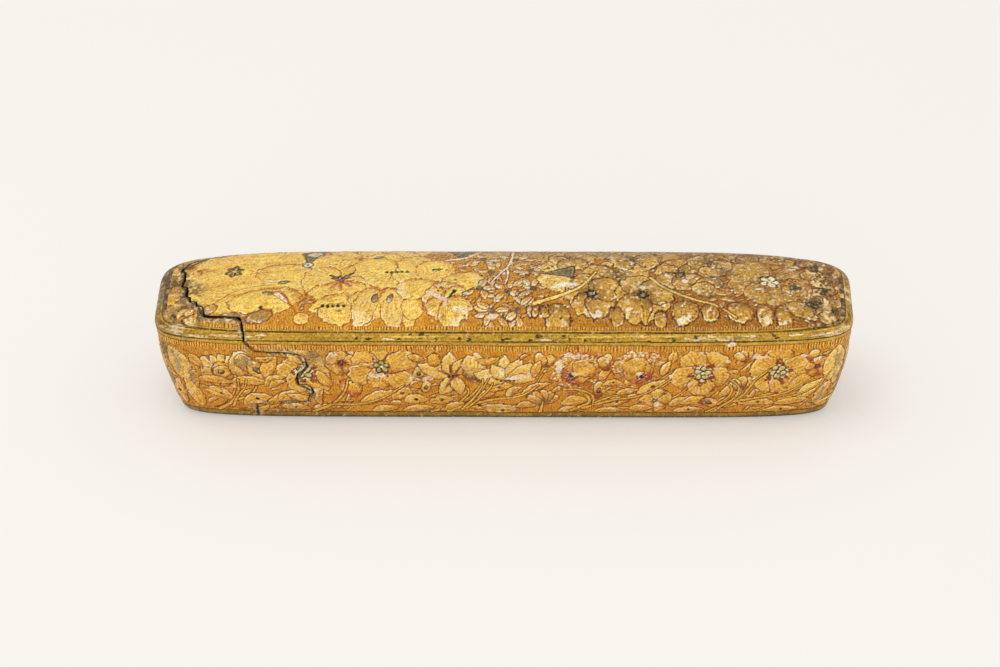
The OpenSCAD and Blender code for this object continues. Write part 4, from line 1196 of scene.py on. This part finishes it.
def band_stains_and_highlights(band):
    """Dark and pale strokes, pale stretches, painted highlights near the ends and blotched ends."""
    chance = np.random.default_rng(67)
    for u in (-48, -44, -34, -31, -27, -25, -22, -14, -11, 0, 1.5, 9, 12, 17, 20, 22, 27, 48, 54, 56, 64, 70,
              76, 90):
        blob(band, u, chance.uniform(1, 12), chance.uniform(0.4, 1.2), chance.uniform(1.5, 4.5), INK, 0, 0.9,
             0.85)
    for u in (-38, 13.5, 45, 60, 63, 66, 69, 72, 75, 82, 97, -85, -80):
        blob(band, u, chance.uniform(3, 9), chance.uniform(0.8, 2.4), chance.uniform(1.0, 2.2), CREAM, 0, 1.4,
             0.75)
    # Tinted patches; the white ones near the band's ends are painted highlights
    for u, level, wide, tone in (
            (69, 4.5, 10, GREY * 1.6), (78, 7.0, 4, GREY), (108, 6.0, 7, WHITE), (113, 4.0, 4, WHITE),
            (-112, 6.0, 5, WHITE), (-104, 3.0, 6, CREAM), (-90, 6.0, 8, CREAM), (30, 8.0, 9, LEMON),
            (-30, 8.0, 10, LEMON), (50, 9.0, 8, LEMON)):
        blob(band, u, level, wide, 1.5, tone, 0, 1.3, 0.6, 0.5)
    for u in np.arange(106, 135, 2.5):
        for side in (-1, 1):
            tone = (OLIVE_DARK, CREAM, DARK_BROWN)[chance.integers(3)]
            blob(band, side * u, chance.uniform(2, 11), chance.uniform(1.2, 3.2), chance.uniform(1.2, 3.2),
                 tone, 0, 1.3, 0.6, 0.6)


def painted_top(x, y, share):
    """The flower field, with a border of strokes and a gold strip along the band."""
    top = Sheet(x, y, top_ground(x, y), TOP_LIGHT)
    paint_top(top)
    at_end = np.abs(x) / HALF_L > np.abs(y) / HALF_W
    uneven = 0.012 * (grain(x, y, 2.5, 84) - 0.5)
    zone = smooth(TICKS_SHARE, TICKS_SHARE + 0.003, share + uneven) * (1 - smooth(94, 104, np.abs(x)))
    paint_ticks(top, zone, np.where(at_end, y, x), top_ground(x, y))
    top.height *= 1 - 0.75 * smooth(2, 16, y)
    top.height += 0.36 * smooth(0.955, 0.969, share)
    edge = share + 0.003 * (grain(x, y, 7.0, 63) - 0.5)
    worn = grain(x, y, 2.2, 64)
    straight = 1 - smooth(98, 108, np.abs(x))
    strip_zone = straight * smooth(STRIP_SHARE, STRIP_SHARE + 0.002, edge)
    top.coat(strip_zone, BAND_GOLD * (0.85 + 0.3 * worn)[:, None])
    line = straight * (1 - smooth(0.001, 0.0035, np.abs(edge - STRIP_SHARE + 0.0005)))
    top.coat((0.4 + 0.5 * worn) * line, rgb(132, 58, 22))
    top.coat(0.85 * straight * smooth(LINE_SHARE, LINE_SHARE + 0.0013, edge), BAND_LINE)
    return top


# Where the points of a skin lie

# Height in millimetres over which the slope of the wall is measured
SLOPE_STEP = 0.05

# How far past the mouth, in millimetres, points are still measured from the joint
SEAM_REACH = 30.0


def outer_facts(points):
    """Depth under the outer form, outward direction and share of the way out, for points in millimetres."""
    x, y, z = points.T
    a, b = half_sizes(z)
    a_up, b_up = half_sizes(z + SLOPE_STEP)
    big_x = np.abs(x) / a
    big_y = np.abs(y) / b
    norm = np.maximum((big_x ** PLAN_N + big_y ** PLAN_N) ** (1 / PLAN_N), 1e-6)
    part_x = (big_x / norm) ** (PLAN_N - 1)
    part_y = (big_y / norm) ** (PLAN_N - 1)
    slope = (-part_x * big_x * (a_up - a) / a - part_y * big_y * (b_up - b) / b) / SLOPE_STEP
    wall_way = np.stack([np.sign(x) * part_x / a, np.sign(y) * part_y / b, slope], axis=1)
    wall_depth = (1 - norm) / np.maximum(np.linalg.norm(wall_way, axis=1), 1e-9)
    up = np.clip((z - SHOULDER_Z) / RISE, 0, None)
    dome_way = np.stack([
        np.sign(x) * norm * part_x / a, np.sign(y) * norm * part_y / b, up / RISE], axis=1)
    size = np.maximum(np.linalg.norm(dome_way, axis=1), 1e-9)
    dome_depth = (1 - norm ** 2 - up ** 2) / (2 * size)
    on_dome = z > SHOULDER_Z
    way = np.where(on_dome[:, None], dome_way, wall_way)
    way /= np.maximum(np.linalg.norm(way, axis=1), 1e-9)[:, None]
    return np.where(on_dome, dome_depth, wall_depth), way, norm


def lengths(x, y):
    """Length of a line round the shoulder up to each of its points."""
    return np.concatenate([[0], np.cumsum(np.hypot(np.diff(x) * HALF_L, np.diff(y) * HALF_W))])


def run_length(points):
    """Distance along the wall from the front middle, with the back folded onto the front by a half turn."""
    x, y, z = points.T
    half_turn = np.where(y > 0, -1.0, 1.0)
    a, b = half_sizes(z)
    big_x = half_turn * x / a
    big_y = half_turn * y / b
    along = np.linspace(-1, 1, RUN_SAMPLES)
    full = np.ones(RUN_SAMPLES)
    front = lengths(*plan_point(along, -full))
    front -= front[RUN_SAMPLES // 2]
    end = lengths(*plan_point(full, along))
    wide = np.maximum(np.abs(big_y), 1e-9)
    deep = np.maximum(np.abs(big_x), 1e-9)
    run_front = np.interp(big_x / wide, along, front)
    run_end = np.sign(big_x) * (front[-1] + np.interp(big_y / deep, along, end))
    return np.where(wide >= deep, run_front, run_end)


def seam_distance(points):
    """Distance from the middle of the zigzag joint, measured on the unrolled surface."""
    line_angle, line_x = seam_shifted(0.0)
    line = np.stack([SEAM_RADIUS * line_angle, line_x], axis=1)
    turn = 2 * math.pi * SEAM_RADIUS
    line = np.concatenate([line, [[line[0, 0] + turn, line[0, 1]]]])
    angle = np.arctan2(points[:, 2] - SEAM_AXIS_Z, -points[:, 1])
    angle = np.where(angle < line_angle[0], angle + 2 * math.pi, angle)
    away = np.full(len(points), FAR_DEPTH)
    close = np.where(points[:, 0] < MOUTH_SETBACK + SEAM_REACH - CASE_L / 2)[0]
    spread = Sheet(SEAM_RADIUS * angle[close], points[close, 0], OCHRE)
    away[close], _ = distance_to(spread, spread.all, line)
    return away


def blotches(u, v, large, small):
    """Two random fields, each given by its size and seed, added up."""
    return 0.6 * grain(u, v, *large) + 0.4 * grain(u, v, *small)


def ageing_and_painted_light(colour, points, outside):
    """Dirt at the ends, chipped edges along the joint, a darker right end, a painted highlight at the ends of
    band and top, and painted shade towards the back of the top.
    """
    x, y, z = points.T
    rough = blotches(x + 0.6 * z, y + 0.8 * z, (4.0, 91), (1.2, 92))
    seam = seam_distance(points) + 0.5 * (rough - 0.5)
    fringe = (1 - smooth(0.8, 2.6, seam)) * smooth(0.42, 0.6, rough)
    zigzag = 0.9 * smooth(9, 12, z) * smooth(29, 26, z)
    open_share = 0.45 + 0.47 * np.maximum(np.maximum(smooth(30, 37, z), smooth(9, 5, z)), zigzag)
    left = smooth(-101, -115, x) * smooth(0.34, 0.56, rough)
    rim = 0.6 * grain(y + 0.4 * z, z, 2.4, 99) + 0.4 * grain(y, z - 0.3 * y, 0.9, 100)
    rim = smooth(-111, -115.5, x) * smooth(30, 36, z) * smooth(-14, -6, y) * smooth(0.32, 0.6, rim)
    soiled = smooth(0.42, 0.62, grain(x, y + 2 * z, 2.2, 94)) * smooth(39, 40.5, z) * smooth(-98, -108, x)
    ends = smooth(107, 114, np.abs(x)) * smooth(38.6, 39.6, z) * smooth(0.4, 0.62, rough)
    right = smooth(92, 113, x) * smooth(34, 40, z) * smooth(0.3, 0.62, rough)
    end_top = smooth(38.6, 39.6, z) * smooth(97, 107, np.abs(x))
    # Painted highlight: a pale sheen in patches at the ends of the band and the top
    painted_sheen = smooth(0.62, 0.8, blotches(x, 0.7 * y, (2.4, 95), (0.9, 97))) * end_top
    soot = 0.05 * (x < 0) + blotches(x, 0.7 * y, (3.0, 96), (1.0, 98))
    soot = (0.8 + 0.15 * (x > 0)) * smooth(0.54, 0.7, soot) * end_top
    # Painted shade: the back half of the top is darkened, more on the right
    painted_back_shade = smooth(4, 20, y) * smooth(39, 44, z) * smooth(-60, 20, x)
    for tint, share in (
            (mix(GREY, CREAM, smooth(0.5, 0.75, grain(x, y + z, 1.0, 93))), 0.7 * fringe),
            (INK, open_share * (1 - smooth(0.4, 0.7, seam))), (rgb(120, 92, 48), 0.3 * left),
            (rgb(72, 56, 38), 0.75 * rim), (rgb(70, 48, 28), 0.5 * soiled), (rgb(176, 132, 64), 0.5 * ends),
            (rgb(92, 66, 36), 0.2 * right), (rgb(248, 218, 156), 0.9 * painted_sheen), (rgb(52, 34, 18), soot),
            (rgb(110, 76, 42), 0.4 * painted_back_shade)):
        colour = mix(colour, tint, share)
    return np.where(outside[:, None], colour, DARK_BROWN)


# Finish of the paint

# Brightness, what is taken off to deepen the dark strokes, and the strength and reach of the sharpening
PAINT_GAIN = 1.07
DEEPER = 0.006
CRISP = 1.0
SOFT_STEPS = 2

# Darkest paint, darkest tone after sharpening, and the lowest paint above the table in millimetres
DARKEST = 0.002
DARKEST_TONE = 0.045
LOWEST = 0.02


def skin_points(skins):
    """The points of all skins in millimetres, and the stretch of them that belongs to each skin."""
    found = []
    parts = []
    start = 0
    for skin in skins:
        flat = np.empty(3 * len(skin.data.vertices), np.float32)
        skin.data.vertices.foreach_get("co", flat)
        found.append(flat.reshape(-1, 3) / MM)
        parts.append(slice(start, start + len(found[-1])))
        start = parts[-1].stop
    return np.concatenate(found).astype(float), parts


def paint_skins(skins):
    """Works out colour, cover and relief for every point of the skins and writes them to the meshes."""
    points, parts = skin_points(skins)
    depth, way, share = outer_facts(points)
    outside = depth < OUTSIDE_DEPTH
    x, y, z = points.T
    turn = np.degrees(np.arcsin(np.clip((z - SHOULDER_Z) / (RISE + BAND_LIFT), 0, 1)))
    is_wall = outside & (z <= SHOULDER_Z + 1e-4)
    is_band = outside & ~is_wall & (turn < BAND_ANGLE - 0.25)
    is_top = outside & ~is_wall & ~is_band
    run = run_length(points)
    colour = np.tile(DARK_BROWN, (len(points), 1))
    cover = np.ones(len(points))
    height = np.zeros(len(points))
    chart = np.zeros((len(points), 3))
    for where, mark, sheet in (
            (is_wall, 0.0, painted_wall(run[is_wall], z[is_wall])),
            (is_band, 0.5, painted_band(run[is_band], turn[is_band])),
            (is_top, 1.0, painted_top(x[is_top], y[is_top], share[is_top]))):
        colour[where] = sheet.colour
        cover[where] = sheet.cover
        height[where] = sheet.height
        chart[where] = np.stack([sheet.u, sheet.v, np.full(len(sheet.u), mark)], axis=1)
    colour = np.clip(PAINT_GAIN * ageing_and_painted_light(colour, points, outside) - DEEPER, DARKEST, 1)
    points += way * np.where(outside, PAINT_LIFT + height, 0.0)[:, None]
    points[:, 2] = np.maximum(points[:, 2], LOWEST)
    for skin, part in zip(skins, parts):
        mesh = skin.data
        mesh.vertices.foreach_set("co", (points[part] * MM).astype(np.float32).reshape(-1))
        paint_layer = np.pad(crisp(mesh, colour[part]), ((0, 0), (0, 1)), constant_values=1.0)
        store(mesh, "paint", "FLOAT_COLOR", "color", paint_layer)
        store(mesh, "cover", "FLOAT", "value", cover[part])
        store(mesh, "chart", "FLOAT_VECTOR", "vector", chart[part])
        mesh.polygons.foreach_set("use_smooth", np.ones(len(mesh.polygons), bool))
        mesh.update()


def crisp(mesh, colour):
    """Sharpens the paint against the mean of each point and its neighbours."""
    ends = np.empty(2 * len(mesh.edges), np.int32)
    mesh.edges.foreach_get("vertices", ends)
    first, second = ends.reshape(-1, 2).T
    tone = np.sqrt(colour)
    count = np.bincount(ends, minlength=len(tone)) + 1.0
    soft = tone
    for _ in range(SOFT_STEPS):
        total = soft.copy()
        for channel in range(3):
            total[:, channel] += np.bincount(first, soft[second, channel], len(tone))
            total[:, channel] += np.bincount(second, soft[first, channel], len(tone))
        soft = total / count[:, None]
    return np.clip(tone + CRISP * (tone - soft), DARKEST_TONE, 1.0) ** 2


def store(mesh, name, kind, field, values):
    layer = mesh.attributes.new(name, kind, "POINT")
    layer.data.foreach_set(field, values.astype(np.float32).reshape(-1))


# Materials

def new_material(name):
    material = bpy.data.materials.new(name)
    material.use_nodes = True
    tree = material.node_tree
    return material, tree, tree.nodes["Principled BSDF"]


def feed(tree, socket, value):
    """Sets an input from another node's output, a number or a colour."""
    if hasattr(value, "links"):
        tree.links.new(value, socket)
    elif np.ndim(value):
        socket.default_value = (*value, 1.0)
    else:
        socket.default_value = value


def set_inputs(tree, made, inputs):
    for socket, value in inputs.items():
        feed(tree, made.inputs[socket], value)


def node(tree, kind, inputs=None, **settings):
    """A new node with its inputs given by name or place."""
    made = tree.nodes.new(kind)
    for key, value in settings.items():
        setattr(made, key, value)
    set_inputs(tree, made, inputs or {})
    return made


def math_node(tree, how, first, second):
    return node(tree, "ShaderNodeMath", {0: first, 1: second}, operation=how).outputs[0]


def times(tree, first, second):
    return math_node(tree, "MULTIPLY", first, second)


def plus(tree, first, second):
    return math_node(tree, "ADD", first, second)


def blend(tree, share, first, second, how="MIX"):
    inputs = {0: share, 6: first, 7: second}
    return node(tree, "ShaderNodeMix", inputs, data_type="RGBA", blend_type=how).outputs[2]


def ramp(tree, value, low, high, end_low=0.0, end_high=1.0):
    inputs = {"Value": value, "From Min": low, "From Max": high, "To Min": end_low, "To Max": end_high}
    return node(tree, "ShaderNodeMapRange", inputs, interpolation_type="SMOOTHSTEP").outputs["Result"]


def noise(tree, where, scale, detail=4.0, rough=0.55):
    inputs = {"Vector": where, "Scale": scale, "Detail": detail, "Roughness": rough}
    return node(tree, "ShaderNodeTexNoise", inputs).outputs["Fac"]


def bump(tree, height, distance):
    return node(tree, "ShaderNodeBump", {"Height": height, "Distance": distance}).outputs["Normal"]


def object_place(tree):
    return node(tree, "ShaderNodeTexCoord").outputs["Object"]


def lacquer_material():
    """The paint layer over a finely hatched ground, rubbed, speckled and thinly varnished."""
    material, tree, shader = new_material("painted_lacquer")
    paint = node(tree, "ShaderNodeAttribute", attribute_name="paint").outputs["Color"]
    cover = node(tree, "ShaderNodeAttribute", attribute_name="cover").outputs["Fac"]
    chart = node(tree, "ShaderNodeAttribute", attribute_name="chart").outputs["Vector"]
    along, across, _ = node(tree, "ShaderNodeSeparateXYZ", {0: chart}).outputs
    spot = object_place(tree)

    run = plus(tree, along, times(tree, across, 0.12))
    run = plus(tree, run, times(tree, noise(tree, chart, 0.22, 3.0), 2.4))
    wave = math_node(tree, "SINE", times(tree, run, 2 * math.pi / HATCH_PITCH), 0.0)
    broken = ramp(tree, noise(tree, chart, 0.75, 3.0), 0.34, 0.6)
    bare = math_node(tree, "SUBTRACT", 1.0, cover)
    hatch = times(tree, times(tree, ramp(tree, wave, 0.1, 0.85), broken), bare)
    colour = blend(tree, times(tree, hatch, 0.22), paint, rgb(236, 182, 80))
    furrow = times(tree, ramp(tree, wave, -0.2, -0.9), times(tree, bare, 0.34))
    colour = blend(tree, furrow, colour, rgb(138, 72, 20))

    fine = noise(tree, spot, 2600.0, 3.0, 0.6)
    colour = blend(tree, ramp(tree, fine, 0.46, 0.7, 0.0, 0.38), colour, rgb(156, 96, 34), "MULTIPLY")
    stipple = noise(tree, spot, 1500.0, 1.0)
    colour = blend(tree, ramp(tree, stipple, 0.5, 0.32, 0.0, 0.5), colour, rgb(190, 132, 84), "MULTIPLY")
    colour = blend(tree, ramp(tree, stipple, 0.5, 0.68, 0.0, 0.5), colour, rgb(140, 116, 60), "SCREEN")
    speck = ramp(tree, noise(tree, spot, 1100.0, 2.0, 0.5), 0.66, 0.72, 0.0, 0.55)
    colour = blend(tree, speck, colour, rgb(96, 54, 24))
    rubbed = ramp(tree, noise(tree, spot, 620.0, 5.0, 0.66), 0.58, 0.68, 0.0, 0.5)
    colour = blend(tree, rubbed, colour, rgb(248, 224, 166))
    stain = ramp(tree, noise(tree, spot, 70.0, 4.0, 0.6), 0.5, 0.72, 0.0, 0.15)
    colour = blend(tree, stain, colour, rgb(170, 112, 40), "MULTIPLY")
    tooth = plus(tree, times(tree, fine, 0.5), times(tree, hatch, 0.5))
    tooth = plus(tree, tooth, times(tree, speck, -0.5))
    set_inputs(tree, shader, {
        "Base Color": colour, "Roughness": ramp(tree, noise(tree, spot, 300.0), 0.3, 0.7, 0.36, 0.55),
        "Specular IOR Level": 0.25, "Specular Tint": (1.0, 0.8, 0.44), "Coat Weight": 0.08,
        "Coat Roughness": 0.25, "Coat Tint": (1.0, 0.9, 0.68), "Normal": bump(tree, tooth, 0.0003)})
    return material


def plain_material(name, first, second, scale, rough, metal=0.0, depth=0.0001, stretch=(1, 1, 1)):
    """A two-tone grained material."""
    material, tree, shader = new_material(name)
    mapping = node(tree, "ShaderNodeMapping", {"Vector": object_place(tree)})
    mapping.inputs["Scale"].default_value = stretch
    grained = noise(tree, mapping.outputs["Vector"], scale, 5.0, 0.6)
    set_inputs(tree, shader, {
        "Base Color": blend(tree, ramp(tree, grained, 0.34, 0.68), first, second), "Metallic": metal,
        "Roughness": ramp(tree, grained, 0.3, 0.7, rough - 0.06, rough + 0.08),
        "Normal": bump(tree, grained, depth)})
    return material


def dress_nodes():
    """Gives every CAD node its material."""
    body = plain_material("papier_mache", rgb(58, 32, 20), rgb(92, 54, 28), 260.0, 0.7)
    red = plain_material("red_lacquer", rgb(104, 24, 16), rgb(136, 40, 24), 180.0, 0.35)
    brass = plain_material("brass", rgb(150, 112, 44), rgb(196, 156, 76), 340.0, 0.34, 1.0, 0.00004)
    reed = plain_material("reed", rgb(104, 56, 24), rgb(160, 98, 46), 500.0, 0.4, 0.0, 0.00005, (0.06, 1, 1))
    bone = plain_material(
        "bone", rgb(206, 186, 146), rgb(232, 218, 186), 420.0, 0.35, 0.0, 0.00003, (0.1, 1, 1))
    steel = plain_material(
        "steel", rgb(120, 122, 124), rgb(172, 174, 176), 600.0, 0.3, 1.0, 0.00003, (0.08, 1, 1))
    for material, names in (
            (body, ("case_shell", "drawer_head")), (red, ("drawer_tray", "tray_partition")),
            (brass, ("inkwell_body", "inkwell_lid", "inkwell_hinge_pin", "penknife_ferrule")),
            (reed, ("reed_pen_broad", "reed_pen_middle", "reed_pen_fine")),
            (bone, ("penknife_handle", "nib_plate")), (steel, ("penknife_blade",))):
        for name in names:
            set_material(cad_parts[name], material)


def set_material(obj, material):
    obj.data.materials.clear()
    obj.data.materials.append(material)


case_skin, head_skin = make_skins()
paint_skins((case_skin, head_skin))
lacquer = lacquer_material()
for skin, body in ((case_skin, "case"), (head_skin, "drawer")):
    set_material(skin, lacquer)
    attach(skin, body)
dress_nodes()


# Camera fitted to the photograph: angles in degrees, lengths in metres, lens in widths of the picture
ELEVATION = 31.964
YAW = 1.39
ROLL = 0.615
DISTANCE = 1.404
TARGET = (-0.001493, 0.0, 0.022998)
LENS = 4.1254
SENSOR_MM = 36.0


def set_camera():
    elevation, yaw, roll = np.radians([ELEVATION, YAW, ROLL])
    painted_back_shade = Vector((math.sin(yaw) * math.cos(elevation), -math.cos(yaw) * math.cos(elevation),
                   math.sin(elevation)))
    right = Vector((math.cos(yaw), math.sin(yaw), 0.0))
    up = painted_back_shade.cross(right)
    right_r = right * math.cos(roll) - up * math.sin(roll)
    up_r = right * math.sin(roll) + up * math.cos(roll)
    camera = add_object("camera", bpy.data.cameras.new("camera"))
    turn = Matrix((right_r, up_r, painted_back_shade)).transposed().to_4x4()
    camera.matrix_world = Matrix.Translation(Vector(TARGET) + painted_back_shade * DISTANCE) @ turn
    camera.data.sensor_width = SENSOR_MM
    camera.data.lens = LENS * SENSOR_MM
    camera.data.clip_end = 20.0
    bpy.context.scene.camera = camera


# Light: tone and strength of the even surroundings, and each lamp's place, size and energy
WORLD_TONE = (1, 0.99, 0.98, 1)
WORLD_STRENGTH = 0.8
LAMPS = {"key": ((-0.35, -0.1, 1.5), 0.9, 4.4), "fill": ((0.2, -1.7, 0.55), 1.4, 6.0)}


def set_light():
    world = bpy.data.worlds.new("studio")
    world.use_nodes = True
    background = world.node_tree.nodes["Background"]
    background.inputs["Color"].default_value = WORLD_TONE
    background.inputs["Strength"].default_value = WORLD_STRENGTH
    bpy.context.scene.world = world
    for name, (place, size, energy) in LAMPS.items():
        lamp = bpy.data.lights.new(name, "AREA")
        lamp.energy = energy
        lamp.size = size
        light = add_object(name, lamp)
        light.location = place
        light.rotation_euler = (-light.location).to_track_quat("-Z", "Y").to_euler()


# Pale table that keeps the soft shadow: its tone, half its width in metres, and the even share of its light
FLOOR_TONE = np.array([0.93, 0.905, 0.863])
FLOOR_HALF = 3
SHADOW_LIFT = 0.4


def make_floor():
    mesh = bpy.data.meshes.new("floor")
    corners = [(FLOOR_HALF * x, FLOOR_HALF * y, 0) for x, y in ((-1, -1), (1, -1), (1, 1), (-1, 1))]
    mesh.from_pydata(corners, [], [(0, 1, 2, 3)])
    floor = add_object("floor", mesh)
    material, tree, shader = new_material("table")
    tone = ramp(tree, noise(tree, object_place(tree), 3.0, 2.0), 0.3, 0.7)
    set_inputs(tree, shader, {
        "Base Color": blend(tree, tone, FLOOR_TONE, FLOOR_TONE * 1.01), "Roughness": 0.9,
        "Specular IOR Level": 0.0})
    glow = node(tree, "ShaderNodeEmission", {"Color": FLOOR_TONE})
    ray = node(tree, "ShaderNodeLightPath").outputs
    seen = math_node(tree, "MAXIMUM", ray["Is Camera Ray"], ray["Is Glossy Ray"])
    seen = math_node(tree, "MAXIMUM", seen, ray["Is Transmission Ray"])
    layers = {0: times(tree, seen, SHADOW_LIFT), 1: shader.outputs[0], 2: glow.outputs[0]}
    both = node(tree, "ShaderNodeMixShader", layers)
    feed(tree, tree.nodes["Material Output"].inputs["Surface"], both.outputs[0])
    set_material(floor, material)


set_camera()
set_light()
make_floor()
bpy.context.scene.view_settings.view_transform = "Standard"
